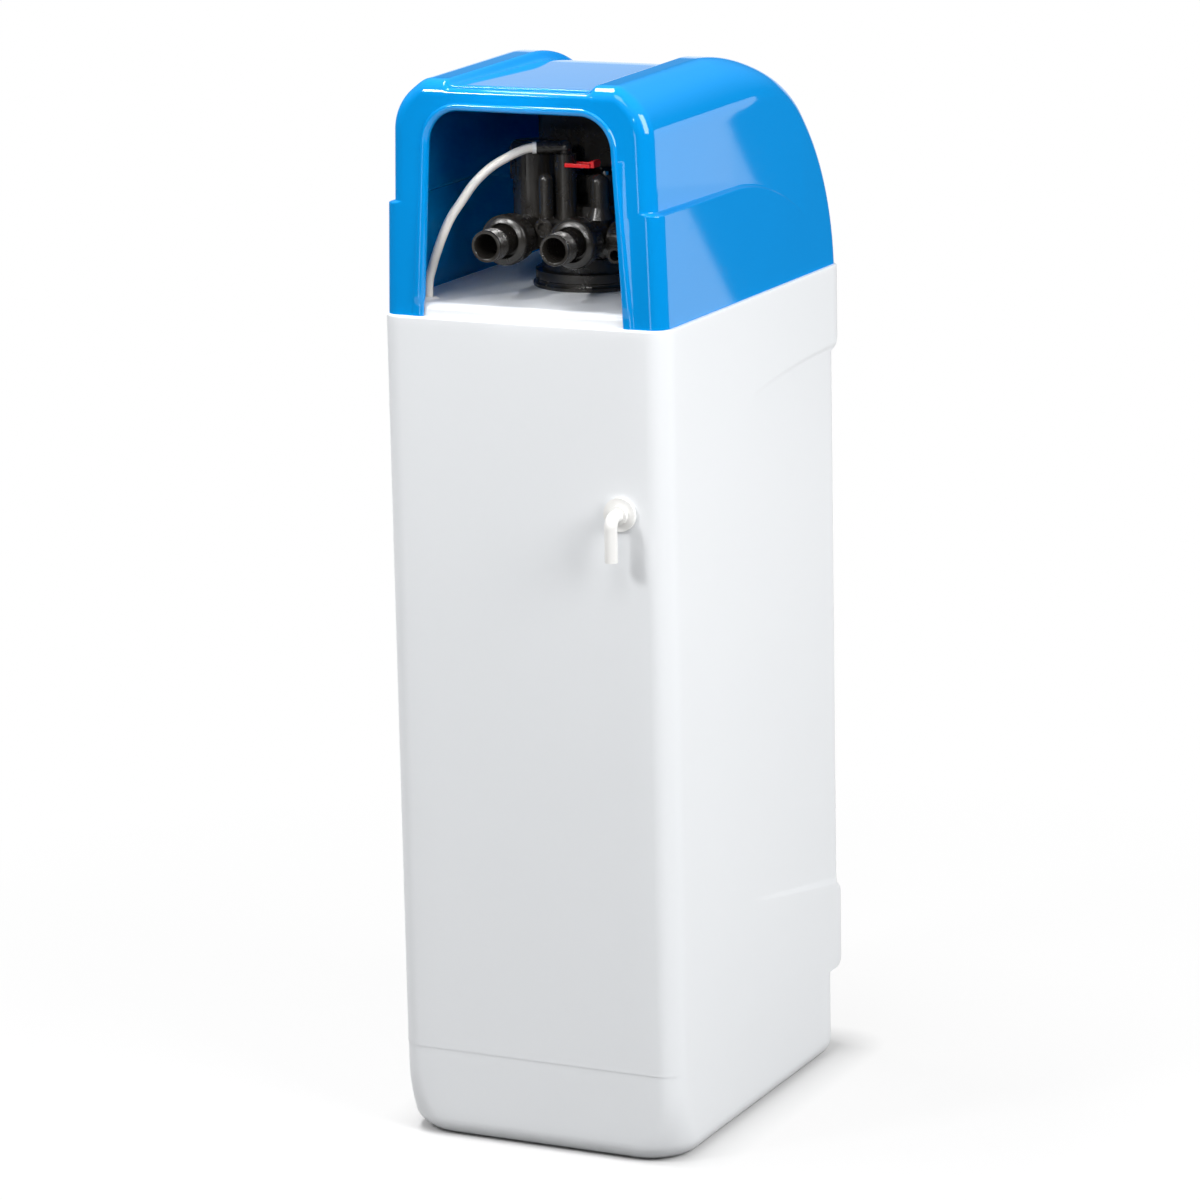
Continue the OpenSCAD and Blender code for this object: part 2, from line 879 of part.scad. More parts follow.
module bottom_distributor() {
  color("white")
    translate([0, vessel_y, basket_z])
      difference() {
        slotted_basket(basket_d, basket_h, 16);
        translate([0, 0, basket_h - 21])
          cylinder(d = riser_d + 2 * running_gap, h = 20);
      }
}

module top_distributor() {
  height = 26;
  color("white")
    translate([0, vessel_y, ledge_z + 2 - height])
      difference() {
        cylinder(d1 = neck_bore_d - 16, d2 = neck_bore_d - 6, h = height);
        translate([0, 0, -cut])
          cylinder(d = riser_d + 2 * loose_gap, h = height + 2 * cut);
        for (k = [0:11])
          rotate([0, 0, 30 * k])
            translate([riser_d / 2 + 3, -0.75, 5])
              cube([neck_bore_d, 1.5, height - 12]);
      }
}

module neck_seal() {
  color("black")
    translate([0, vessel_y, neck_z - 5])
      rotate_extrude()
        translate([neck_bore_d / 2 - 1.6, 0])
          circle(1.5, $fn = 24);
}

// Upright round tower with a domed head
module domed_tower(d, z0, z1) {
  translate([0, 0, z0])
    cylinder(d = d, h = z1 - d / 2 - z0);
  translate([0, 0, z1 - d / 2])
    sphere(d = d);
}

// Slots that take the legs of the retaining clip
clip_leg_w = 4;
clip_leg_y = fitting_d / 2 + 1.5;
clip_z = clip_tower_top - 10.5;
clip_slot_t = clip_t + 2 * loose_gap;

module valve_solid() {
  translate([0, vessel_y, ledge_z + 2])
    cylinder(d = neck_bore_d - 2 * loose_gap, h = neck_rise);
  translate([0, vessel_y, neck_z]) {
    cylinder(d = flange_d, h = flange_t);
    cylinder(d = neck_collar_d, h = flange_t + neck_collar_h);
  }
  translate([0, vessel_y, neck_z])
    cylinder(d = trunk_d, h = trunk_top - neck_z);
  translate([0, disc_y, neck_z + flange_t])
    cylinder(d = chamber_d + 2 * chamber_wall, h = chamber_top - neck_z - flange_t);
  translate([0, disc_y, chamber_top - 10])
    cylinder(d = bonnet_d, h = 10);
  for (s = [-1, 1])
    translate([s * port_x, vessel_y, port_z])
      rotate([-90, 0, 0]) {
        cylinder(d = port_d - 4, h = port_end_y - vessel_y - 1);
        translate([0, 0, port_end_y - vessel_y - 13])
          cylinder(d = port_d, h = 13);
      }
  translate([tower_xy[0], tower_xy[1], port_z])
    cylinder(d = tower_d, h = ledge_z + tower_top - port_z);
  translate([slim_xy[0], slim_xy[1], 0])
    domed_tower(slim_d, port_z - 10, slim_top);
  translate([clip_xy[0], clip_xy[1], port_z])
    cylinder(d = clip_tower_d, h = ledge_z + clip_tower_top - port_z);
  translate([vent_xy[0], vent_xy[1], 0])
    domed_tower(vent_d, port_z, vent_top);
  translate([vent_xy[0], vent_xy[1], port_z + port_d / 2 - 3])
    cylinder(d1 = vent_d + 8, d2 = vent_d, h = 12);
  translate([drain_x, drain_y, drain_z])
    rotate([0, 90, 0])
      cylinder(d = drain_boss_d, h = -drain_x - port_x + 8);
  translate([plug_x, vessel_y + 20, plug_z])
    rotate([-90, 0, 0])
      cylinder(d = plug_d, h = plug_y - vessel_y - 20);
  // Web between the ports that carries the plug and the slim tower
  translate([0, vessel_y + 47, port_z])
    cube([port_spacing, 94, 22], center = true);
}

module valve_body() {
  color("#26221f")
    difference() {
      valve_solid();
      // Ways from the ports to the disc chamber
      for (s = [-1, 1])
        translate([s * port_x, vessel_y + 20, port_z])
          rotate([-90, 0, 0])
            cylinder(d = nipple_bore_d, h = port_end_y - vessel_y - 20 + cut);
      translate([0, disc_y, chamber_z])
        cylinder(d = chamber_d, h = chamber_top - chamber_z + cut);
      for (k = [0:disc_ports - 1])
        translate([0, disc_y, chamber_z - 20])
          rotate([0, 0, 360 * k / disc_ports])
            translate([disc_port_r, 0, 0])
              cylinder(d = disc_port_d, h = 21);
      // Riser and the ring space round it
      translate([0, vessel_y, ledge_z])
        cylinder(d = riser_d + 2 * running_gap, h = 44);
      translate([0, vessel_y, ledge_z])
        cylinder(d = neck_bore_d - 14, h = neck_rise + 4);
      // Neck seal groove
      translate([0, vessel_y, neck_z - 5])
        rotate_extrude()
          translate([neck_bore_d / 2 - 1.6, 0])
            circle(1.6, $fn = 24);
      for (k = [0:5])
        translate([0, disc_y, chamber_top - 11])
          rotate([0, 0, 60 * k])
            translate([screw_circle_r, 0, 0])
              cylinder(d = screw_d + 0.2, h = 12);
      // Injector well, opened by its cap
      translate([tower_xy[0], tower_xy[1], port_z + nipple_bore_d / 2 + 6])
        cylinder(d = tower_d - 16, h = tower_top);
      translate([drain_x - cut, drain_y, drain_z])
        rotate([0, 90, 0])
          cylinder(d = drain_spigot_d, h = 20);
      // Bore for the brine elbow, and the slots of its clip
      translate([clip_xy[0], clip_xy[1], ledge_z + clip_tower_top - spigot_depth])
        cylinder(d = fitting_d + 2 * running_gap, h = spigot_depth + cut);
      for (s = [-1, 1])
        translate([clip_xy[0], clip_xy[1] + s * clip_leg_y, ledge_z + clip_z])
          cube([2 * clip_tower_d, clip_leg_w + 2 * loose_gap, clip_slot_t], center = true);
    }
}

module fixed_disc() {
  color("ivory")
    translate([0, disc_y, chamber_z])
      difference() {
        cylinder(d = chamber_d - 2 * loose_gap, h = disc_t);
        for (k = [0:disc_ports - 1])
          rotate([0, 0, 360 * k / disc_ports])
            translate([disc_port_r, 0, -cut])
              cylinder(d = disc_port_d, h = disc_t + 2 * cut);
      }
}

module moving_disc() {
  color("lightgray")
    translate([0, disc_y, disc_z])
      difference() {
        cylinder(d = chamber_d - 2, h = disc_t);
        translate([disc_port_r, 0, -cut])
          cylinder(d = disc_port_d, h = disc_t + 2 * cut);
        // Channel in the underside that joins two ports
        translate([0, 0, -cut])
          rotate([0, 0, 150])
            rotate_extrude(angle = 60)
              translate([disc_port_r - disc_port_d / 2, 0])
                square([disc_port_d, disc_t / 2 + cut]);
        // Cross slot for the shaft
        translate([0, 0, disc_t])
          cube([2 * shaft_d + 1, 6, 6], center = true);
      }
}

module disc_shaft() {
  top = gear_z + gear_face + 2;
  color("gray")
    translate([0, disc_y, shaft_flange_z]) {
      cylinder(d = 2 * shaft_d, h = shaft_flange_t);
      cylinder(d = shaft_d, h = top - shaft_flange_z);
      translate([0, 0, -1.25])
        cube([2 * shaft_d, 5, 2.5], center = true);
    }
}

module bonnet() {
  plug_z0 = shaft_flange_z + shaft_flange_t + loose_gap;
  color("#2c2825")
    translate([0, disc_y, 0])
      difference() {
        union() {
          translate([0, 0, bonnet_z])
            cylinder(d = bonnet_d, h = bonnet_t);
          translate([0, 0, plug_z0])
            cylinder(d = chamber_d - 2 * loose_gap, h = bonnet_z - plug_z0 + cut);
          translate([0, 0, bonnet_z])
            cylinder(d = hub_d, h = hub_top - bonnet_z);
        }
        translate([0, 0, plug_z0 - cut])
          cylinder(d = shaft_d + 2 * running_gap, h = hub_top - plug_z0 + 2 * cut);
        for (k = [0:5])
          rotate([0, 0, 60 * k])
            translate([screw_circle_r, 0, bonnet_z - cut])
              cylinder(d = screw_d + 0.2, h = bonnet_t + 2 * cut);
      }
}

// Screw whose head stands at the origin, pointing down
module cap_screw(d, len) {
  translate([0, 0, -len])
    cylinder(d = d, h = len);
  difference() {
    cylinder(d = 1.8 * d, h = 0.8 * d);
    translate([0, 0, 0.4 * d])
      cylinder(d = d, h = d, $fn = 6);
  }
}

module bonnet_screws() {
  color("silver")
    for (k = [0:5])
      translate([0, disc_y, bonnet_z + bonnet_t])
        rotate([0, 0, 60 * k])
          translate([screw_circle_r, 0, 0])
            cap_screw(screw_d, bonnet_t + 8);
}

// Involute of angle a, in degrees
function involute(a) = tan(a) * 180 / PI - a;

// Half of a tooth's angle at radius r
function tooth_half(teeth, r) =
  let (
    pitch_r = gear_module * teeth / 2,
    base_r = pitch_r * cos(gear_pressure_angle),
    slack = gear_backlash / 2 / pitch_r * 180 / PI
  )
  90 / teeth - slack + involute(gear_pressure_angle) - involute(acos(min(1, base_r / r)));

// Outline of a gear with involute flanks and a tooth on the +X axis
function gear_outline(teeth) =
  let (
    pitch_r = gear_module * teeth / 2,
    root_r = pitch_r - 1.2 * gear_module,
    tip_r = pitch_r + 0.95 * gear_module,
    low_r = max(root_r + 0.01, pitch_r * cos(gear_pressure_angle)),
    radii = concat([root_r], [for (k = [0:3]) low_r + (tip_r - low_r) * k / 3]),
    last = len(radii) - 1
  )
  [
    for (t = [0:teeth - 1])
      for (k = [0:2 * last + 1])
        let (
          up = k <= last,
          r = radii[up ? k : 2 * last + 1 - k],
          a = 360 * t / teeth + (up ? -1 : 1) * tooth_half(teeth, max(r, low_r))
        )
        [r * cos(a), r * sin(a)]
  ];

module drive_gear() {
  spoke_r = gear_r - 12;
  color("white")
    translate([0, disc_y, gear_z])
      difference() {
        union() {
          rotate([0, 0, -90])
            linear_extrude(gear_face)
              polygon(gear_outline(gear_teeth));
          cylinder(d = 2 * shaft_d, h = gear_face + 2);
        }
        translate([0, 0, -cut])
          cylinder(d = shaft_d + 2 * running_gap, h = gear_face + 4);
        for (k = [0:5])
          rotate([0, 0, 60 * k])
            translate([spoke_r, 0, -cut])
              cylinder(d = 8, h = gear_face + 4);
      }
}

module pinion() {
  color("lightgray")
    translate([0, pinion_y, gear_z]) {
      rotate([0, 0, 90 + 180 / pinion_teeth])
        linear_extrude(gear_face)
          polygon(gear_outline(pinion_teeth));
      cylinder(d = motor_shaft_d, h = gear_face + 4 + motor_flange_t + 8);
    }
}

module drive_motor() {
  color("silver")
    translate([0, pinion_y, motor_flange_z])
      difference() {
        union() {
          cylinder(d = motor_d, h = motor_h);
          linear_extrude(motor_flange_t)
            union() {
              square([2 * motor_ear_x, 10], center = true);
              for (s = [-1, 1])
                translate([s * motor_ear_x, 0])
                  circle(d = 10);
            }
          translate([0, 0, motor_h])
            cylinder(d = motor_d / 3, h = 3);
        }
        translate([0, 0, -cut])
          cylinder(d = motor_shaft_d + 2 * running_gap, h = motor_flange_t + 10);
        for (s = [-1, 1])
          translate([s * motor_ear_x, 0, -cut])
            cylinder(d = 3.4, h = motor_flange_t + 2 * cut);
      }
}

module motor_screws() {
  color("silver")
    for (s = [-1, 1])
      translate([s * motor_ear_x, pinion_y, motor_flange_z + motor_flange_t])
        cap_screw(3.2, motor_flange_t + 8);
}

module head_base() {
  post_h = motor_flange_z - head_floor;
  color("#2c2825")
    difference() {
      union() {
        translate([0, head_rear_y - head_d / 2, hub_top])
          linear_extrude(head_floor - hub_top)
            round_rect(head_w, head_d, head_corner_r);
        for (s = [-1, 1])
          translate([s * motor_ear_x, pinion_y, head_floor - cut])
            cylinder(d = 10, h = post_h + cut);
      }
      translate([0, disc_y, hub_top - cut])
        cylinder(d = shaft_d + 2, h = head_floor_t + 2 * cut);
      for (s = [-1, 1])
        translate([s * motor_ear_x, pinion_y, motor_flange_z - 9])
          cylinder(d = 3.4, h = 9 + cut);
    }
}

// Side view of the head, drawn in by i
module head_profile(i) {
  top = ledge_z + head_top - i;
  front = head_front_y + i;
  low = slope_z + i * (sin(panel_tilt) - 1) / cos(panel_tilt);
  polygon([
    [head_rear_y - i, head_floor - (i > 0 ? cut : 0)],
    [head_rear_y - i, top],
    [front + (top - low) / tan(panel_tilt), top],
    [front, low],
    [front, head_floor - (i > 0 ? cut : 0)]
  ]);
}

// Closed form of the head, drawn in by i
module head_form(i) {
  intersection() {
    rotate([90, 0, 90])
      linear_extrude(head_w - 2 * i, center = true)
        head_profile(i);
    translate([0, head_rear_y - head_d / 2, head_floor - 2 * cut])
      linear_extrude(head_top)
        round_rect(head_w - 2 * i, head_d - 2 * i, head_corner_r - i);
  }
}

// Moves to the middle of the control panel, +Z out of it
module at_panel() {
  translate([0, panel_y, panel_z])
    rotate([panel_tilt, 0, 0])
      children();
}

socket_d = 12;
socket_back = 26;
socket_rise = 18;
socket_y = head_rear_y - socket_back;
socket_z = head_floor + socket_rise;

module head_cover() {
  color("#1f1c1a")
    difference() {
      head_form(0);
      head_form(head_wall);
      at_panel()
        cube([panel_w - 8, panel_h - 3, 4 * head_wall], center = true);
      translate([-head_w / 2, socket_y, socket_z])
        rotate([0, 90, 0])
          cylinder(d = socket_d + 2 * loose_gap, h = 4 * head_wall, center = true);
    }
}

module power_socket() {
  color("black")
    translate([-head_w / 2, socket_y, socket_z])
      rotate([0, 90, 0])
        difference() {
          union() {
            cylinder(d = socket_d, h = 18);
            translate([0, 0, -2])
              cylinder(d = socket_d + 4, h = 2);
          }
          translate([0, 0, -3])
            cylinder(d = 6, h = 14);
        }
}

function button_x(k) = (k - 1.5) * button_pitch;

module control_panel() {
  color("#2b2b2e")
    at_panel()
      difference() {
        union() {
          linear_extrude(panel_t)
            round_rect(panel_w, panel_h, 6);
          for (sx = [-1, 1], sy = [-1, 1])
            translate([sx * (panel_w / 2 - 9), sy * (panel_h / 2 - 9), -panel_post])
              cylinder(d = 6, h = panel_post + cut);
        }
        translate([0, lens_y, panel_t])
          cube([lens_w + 2 * loose_gap, lens_h + 2 * loose_gap, 4], center = true);
        translate([0, lens_y, 0])
          cube([lens_w - 6, lens_h - 6, 4 * panel_t], center = true);
        for (k = [0:3])
          translate([button_x(k), button_y, -cut])
            cylinder(d = button_d + 2 * loose_gap, h = panel_t + 2 * cut);
      }
}

module display_lens() {
  color("slategray")
    at_panel()
      translate([0, lens_y, panel_t - 2])
        linear_extrude(2)
          round_rect(lens_w, lens_h, 1);
}

module control_board() {
  switch_h = panel_post - 2 - button_travel - 0.6;
  color("seagreen")
    at_panel()
      translate([0, 0, -panel_post - board_t]) {
        translate([-(panel_w - 12) / 2, -(panel_h - 12) / 2, 0])
          cube([panel_w - 12, panel_h - 12, board_t]);
        translate([-(lens_w - 8) / 2, lens_y - (lens_h - 8) / 2, 0])
          cube([lens_w - 8, lens_h - 8, board_t + panel_post - 1]);
        for (k = [0:3])
          translate([button_x(k), button_y, board_t])
            cylinder(d = 6, h = switch_h);
      }
}

// Push button k: a cap that stands proud of the panel and a foot that keeps it in
module push_button(k) {
  foot_t = 1.5;
  color("gainsboro")
    at_panel()
      translate([button_x(k), button_y, -2]) {
        cylinder(d = button_d, h = 2 + panel_t + button_proud - 1);
        translate([0, 0, 1 + panel_t + button_proud])
          cylinder(d1 = button_d, d2 = button_d - 2, h = 1);
        cylinder(d = button_d + 4, h = foot_t);
      }
}

module injector_cap() {
  ribs = 12;
  cap_d = tower_d + 5;
  color("#24201d")
    translate([tower_xy[0], tower_xy[1], ledge_z + tower_top])
      difference() {
        union() {
          cylinder(d = cap_d - 2, h = cap_h - 3);
          translate([0, 0, cap_h - 3])
            cylinder(d1 = cap_d - 2, d2 = cap_d - 8, h = 3);
          cylinder(d = cap_d, h = 5);
          for (k = [0:ribs - 1])
            rotate([0, 0, 360 * k / ribs])
              translate([cap_d / 2 - 2, -2, 0])
                cube([2, 4, cap_h - 6]);
        }
        translate([0, 0, -cut])
          cylinder(d = tower_d - 16, h = cap_h - 6);
      }
}

module injector_nozzle() {
  d = tower_d - 16 - 2 * loose_gap;
  z0 = port_z + nipple_bore_d / 2 + 6;
  color("orangered")
    translate([tower_xy[0], tower_xy[1], z0])
      difference() {
        union() {
          cylinder(d = d, h = 12);
          cylinder(d1 = d, d2 = d / 2, h = 34);
        }
        translate([0, 0, -cut])
          cylinder(d = 4, h = 40);
      }
}

// Moves to the mouth of the brine fitting, +X out of it
module at_fitting() {
  translate([fitting_xy[0], fitting_xy[1], fitting_z])
    rotate([0, 0, fitting_turn])
      children();
}

module brine_elbow() {
  foot = ledge_z + clip_tower_top - spigot_depth + 1;
  color("#24201d")
    difference() {
      union() {
        at_fitting()
          translate([-fitting_len, 0, 0])
            rotate([0, 90, 0])
              cylinder(d = fitting_d, h = fitting_len);
        translate([clip_xy[0], clip_xy[1], fitting_z])
          sphere(d = fitting_d + 1.5);
        translate([clip_xy[0], clip_xy[1], foot])
          cylinder(d = fitting_d, h = fitting_z - foot);
      }
      at_fitting()
        translate([-socket_len, 0, 0])
          rotate([0, 90, 0])
            cylinder(d = tube_d + 2 * loose_gap, h = socket_len + cut);
      // Groove that the clip holds
      translate([clip_xy[0], clip_xy[1], ledge_z + clip_z - clip_slot_t / 2])
        difference() {
          cylinder(d = fitting_d + 2, h = clip_slot_t);
          translate([0, 0, -cut])
            cylinder(d = fitting_d - 1.8, h = clip_slot_t + 2 * cut);
        }
    }
}

module tube_collet() {
  color("gainsboro")
    at_fitting()
      rotate([0, 90, 0])
        difference() {
          cylinder(d = fitting_d - 1, h = collet_len);
          translate([0, 0, -cut])
            cylinder(d = tube_d + 2 * loose_gap, h = collet_len + 2 * cut);
        }
}

// Every point of the tube: the curved route, then straight down into the well
tube_drop = ledge_z + tube_route[len(tube_route) - 1][1] - tube_foot_z;
tube_steps = ceil(tube_drop / tube_drop_step);
tube_points = concat(
  [
    for (p = tube_route)
      let (q = fitting_xy + p[0] * fitting_dir)
      [q[0], q[1], p[1] + ledge_z]
  ],
  [for (k = [1:tube_steps]) [tube_xy[0], tube_xy[1], tube_foot_z + tube_drop * (1 - k / tube_steps)]]
);

// Tube of diameter d along points that lie near one upright plane with normal n
module swept_tube(points, d, n, sides) {
  last = len(points) - 1;
  rings = [
    for (k = [0:last])
      let (
        t = points[min(last, k + 1)] - points[max(0, k - 1)],
        v = cross(t / norm(t), n)
      )
      [for (j = [0:sides - 1]) points[k] + d / 2 * (cos(360 * j / sides) * n + sin(360 * j / sides) * v)]
  ];
  polyhedron(
    points = [for (ring = rings) for (p = ring) p],
    faces = concat(
      [[for (j = [0:sides - 1]) j]],
      [[for (j = [sides - 1:-1:0]) last * sides + j]],
      [
        for (k = [0:last - 1])
          for (j = [0:sides - 1])
            let (a = k * sides + j, b = k * sides + (j + 1) % sides)
            [b, a, a + sides]
      ],
      [
        for (k = [0:last - 1])
          for (j = [0:sides - 1])
            let (a = k * sides + j, b = k * sides + (j + 1) % sides)
            [b, a + sides, b + sides]
      ]
    )
  );
}

module brine_tube() {
  // Normal of the upright plane that the curved stretch lies in
  n = [-fitting_dir[1], fitting_dir[0], 0];
  color("ivory")
    swept_tube(tube_points, tube_d, n, tube_sides);
}

module retaining_clip() {
  bar_x = clip_xy[0] - 32;
  color("red")
    translate([0, clip_xy[1], ledge_z + clip_z - clip_t / 2]) {
      for (s = [-1, 1])
        translate([bar_x, s * clip_leg_y - clip_leg_w / 2, 0])
          cube([clip_xy[0] + 6 - bar_x, clip_leg_w, clip_t]);
      translate([bar_x, -clip_leg_y - clip_leg_w / 2, 0])
        cube([5, 2 * clip_leg_y + clip_leg_w, clip_t]);
      // Finger hook
      translate([bar_x - 4, -clip_leg_y, 0])
        cube([5, 2 * clip_leg_y, clip_t + 3]);
    }
}

module blanking_plug() {
  color("#322e2a")
    translate([plug_x, plug_y, plug_z])
      rotate([-90, 0, 0])
        difference() {
          union() {
            cylinder(d = plug_d, h = 5);
            translate([0, 0, 5])
              cylinder(d1 = plug_d, d2 = plug_d - 4, h = 2);
          }
          translate([0, 0, 4])
            cylinder(d = plug_d - 9, h = 5);
        }
}

// Moves to the axis of a port, +Z pointing to the rear
module at_port(s) {
  translate([s * port_x, 0, port_z])
    rotate([-90, 0, 0])
      children();
}

// Tail piece: a collar behind the nut, a neck through it and the threaded end
module nipple(s) {
  collar_y = port_end_y + 0.5;
  color("#2e2a26")
    at_port(s)
      difference() {
        union() {
          translate([0, 0, collar_y])
            cylinder(d = collar_d, h = nut_y - 5 - collar_y);
          translate([0, 0, collar_y])
            cylinder(d = nut_clear_d - 2 * loose_gap, h = nipple_y - nipple_thread - collar_y);
          translate([0, 0, nipple_y - nipple_thread])
            cylinder(d = nipple_d, h = nipple_thread);
        }
        translate([0, 0, collar_y - cut])
          cylinder(d = nipple_bore_d, h = nipple_y - collar_y + 2 * cut);
      }
}

// Scalloped union nut that holds the nipple's collar on the port
module union_nut(s) {
  scallops = 16;
  color("#2a2623")
    at_port(s)
      translate([0, 0, nut_y - nut_len])
        difference() {
          union() {
            cylinder(d = nut_d, h = nut_len - 8);
            translate([0, 0, nut_len - 8])
              cylinder(d1 = nut_d, d2 = nut_d - 10, h = 8);
          }
          translate([0, 0, -cut])
            cylinder(d = port_d + 2 * running_gap, h = nut_len - 5 + cut + loose_gap);
          translate([0, 0, -cut])
            cylinder(d = nut_clear_d, h = nut_len + 2 * cut);
          for (k = [0:scallops - 1])
            rotate([0, 0, 360 * k / scallops])
              translate([nut_d / 2 + 1.6, 0, -cut])
                cylinder(r = 3, h = nut_len + 2 * cut);
        }
}

module port_seals() {
  color("black")
    for (s = [-1, 1])
      at_port(s)
        translate([0, 0, port_end_y])
          difference() {
            cylinder(d = nipple_bore_d + 9, h = 0.5);
            translate([0, 0, -cut])
              cylinder(d = nipple_bore_d + 2, h = 3);
          }
}

// The flow meter sits in the outlet port
turbine_y = vessel_y + 46;
turbine_len = 14;
turbine_d = nipple_bore_d - 1.6;
pin_d = 3;

module turbine_cage() {
  color("whitesmoke")
    at_port(-1)
      translate([0, 0, turbine_y]) {
        difference() {
          cylinder(d = nipple_bore_d - 2 * running_gap, h = 4);
          translate([0, 0, -cut])
            cylinder(d = nipple_bore_d - 4, h = 6);
        }
        for (k = [0:2])
          rotate([0, 0, 120 * k])
            translate([0, -1, 0])
              cube([nipple_bore_d / 2 - 1, 2, 4]);
        cylinder(d = 6, h = 4);
        cylinder(d = pin_d, h = 5 + turbine_len + 3);
      }
}

module flow_turbine() {
  blades = 6;
  color("white")
    at_port(-1)
      translate([0, 0, turbine_y + 5])
        difference() {
          intersection() {
            union() {
              cylinder(d = 8, h = turbine_len);
              for (k = [0:blades - 1])
                rotate([0, 0, 360 * k / blades])
                  translate([turbine_d / 4, 0, turbine_len / 2])
                    rotate([35, 0, 0])
                      cube([turbine_d / 2, 1.2, 2 * turbine_len], center = true);
            }
            cylinder(d = turbine_d, h = turbine_len);
          }
          translate([0, 0, -cut])
            cylinder(d = pin_d + 2 * running_gap, h = turbine_len + 2 * cut);
        }
}

// Moves to the mouth of the drain boss, +Z pointing to -X
module at_drain() {
  translate([drain_x, drain_y, drain_z])
    rotate([0, -90, 0])
      children();
}

module drain_nut() {
  ribs = 28;
  color("#38342f")
    at_drain()
      difference() {
        union() {
          cylinder(d = drain_nut_d - 2, h = drain_nut_len);
          cylinder(d = drain_nut_d, h = 4);
          for (k = [0:ribs - 1])
            rotate([0, 0, 360 * k / ribs])
              translate([drain_nut_d / 2 - 2, -0.8, 0])
                cube([2, 1.6, drain_nut_len - 3]);
        }
        translate([0, 0, 8])
          cylinder(d = drain_spigot_d + 12 + 2 * loose_gap, h = 10);
        translate([0, 0, -cut])
          cylinder(d = drain_spigot_d + 2 * loose_gap, h = drain_nut_len + 2 * cut);
      }
}

// Round bar that runs along +Z, bends round to +Y and goes on
module bent_bar(d, run, bend, rise) {
  cylinder(d = d, h = run);
  translate([0, bend, run])
    rotate([90, 0, -90])
      rotate_extrude(angle = 90)
        translate([bend, 0])
          circle(d = d);
  translate([0, bend, run + bend])
    rotate([-90, 0, 0])
      cylinder(d = d, h = rise);
}

module drain_spigot() {
  run = drain_x - drain_end_x - drain_bend;
  rise = drain_tip_y - drain_y - drain_bend;
  color("#24201d")
    at_drain()
      difference() {
        union() {
          bent_bar(drain_spigot_d, run, drain_bend, rise);
          translate([0, 0, 8.5])
            cylinder(d = drain_spigot_d + 12, h = 9);
        }
        translate([0, 0, -cut])
          bent_bar(drain_spigot_d - 5, run + cut, drain_bend, rise + cut);
        translate([0, 0, -2 * cut])
          cylinder(d = drain_spigot_d + cut, h = 8.5 + 2 * cut);
      }
}

module flow_washer() {
  color("black")
    at_drain()
      translate([0, 0, 4])
        difference() {
          cylinder(d = drain_spigot_d, h = 4);
          translate([0, 0, -cut])
            cylinder(d = 4, h = 6);
        }
}

module overflow_elbow() {
  run = overflow_reach - overflow_bend;
  rise = spigot_len - overflow_bend;
  inside = 22;
  color("white")
    translate([-overflow_x, rear_y, overflow_z])
      rotate([-90, 0, 0])
        difference() {
          union() {
            translate([0, 0, -inside])
              cylinder(d = stem_d, h = inside + overflow_flange_t + 5);
            translate([0, 0, loose_gap / 4])
              cylinder(d = overflow_flange_d, h = overflow_flange_t);
            bent_bar(spigot_d, run, overflow_bend, rise);
          }
          translate([0, 0, -inside - cut])
            bent_bar(spigot_d - 4, run + inside + cut, overflow_bend, rise + cut);
        }
}

module overflow_seal() {
  color("black")
    translate([-overflow_x, rear_y - cabinet_wall, overflow_z])
      rotate([90, 0, 0])
        difference() {
          cylinder(d = overflow_flange_d, h = overflow_seal_t);
          translate([0, 0, -cut])
            cylinder(d = stem_d + 2 * running_gap, h = overflow_seal_t + 2 * cut);
        }
}

module overflow_nut() {
  color("white")
    translate([-overflow_x, rear_y - cabinet_wall - overflow_seal_t, overflow_z])
      rotate([90, 0, 0])
        difference() {
          cylinder(d = overflow_nut_d, h = overflow_nut_t, $fn = 6);
          translate([0, 0, -cut])
            cylinder(d = stem_d + 2 * running_gap, h = overflow_nut_t + 2 * cut);
        }
}

module brine_well() {
  r = well_d / 2;
  h = well_top - cabinet_wall;
  foot_in = 6;
  color("whitesmoke")
    translate([well_xy[0], well_xy[1], cabinet_wall])
      difference() {
        // Tube on a narrower foot that stands clear of the cabinet's rounded floor
        rotate_extrude()
          polygon([
            [r - 2 * foot_in, 0],
            [r - foot_in, 0],
            [r - foot_in, 8],
            [r, 8],
            [r, h],
            [r - well_wall, h],
            [r - well_wall, 11],
            [r - 2 * foot_in, 11]
          ]);
        // Slots that let the brine in
        for (k = [0:7], row = [0:3])
          rotate([0, 0, 45 * k])
            translate([0, -1.5, 20 + 22 * row])
              cube([well_d, 3, 14]);
      }
}

module brine_valve() {
  color("gainsboro")
    translate([0, 0, cabinet_wall])
      difference() {
        union() {
          translate([float_xy[0], float_xy[1], 0])
            cylinder(d = 26, h = brine_valve_h);
          translate([tube_xy[0], tube_xy[1], 20])
            cylinder(d = tube_d + 5, h = tube_foot_z - 20 + 8);
          // Bridge from the valve to the tube's socket
          translate([float_xy[0], float_xy[1], 26])
            rotate([0, 0, atan2(tube_xy[1] - float_xy[1], tube_xy[0] - float_xy[0])])
              translate([0, -5, 0])
                cube([norm(tube_xy - float_xy), 10, 30]);
        }
        translate([float_xy[0], float_xy[1], 30])
          cylinder(d = rod_d + 2 * running_gap, h = brine_valve_h);
        translate([tube_xy[0], tube_xy[1], tube_foot_z - cabinet_wall])
          cylinder(d = tube_d + 2 * loose_gap, h = 20);
        translate([tube_xy[0], tube_xy[1], 40])
          cylinder(d = tube_d - 4, h = tube_foot_z);
      }
}

module float_rod() {
  color("silver")
    translate([float_xy[0], float_xy[1], cabinet_wall + 32])
      cylinder(d = rod_d, h = float_z + float_h + 30 - cabinet_wall - 32);
}

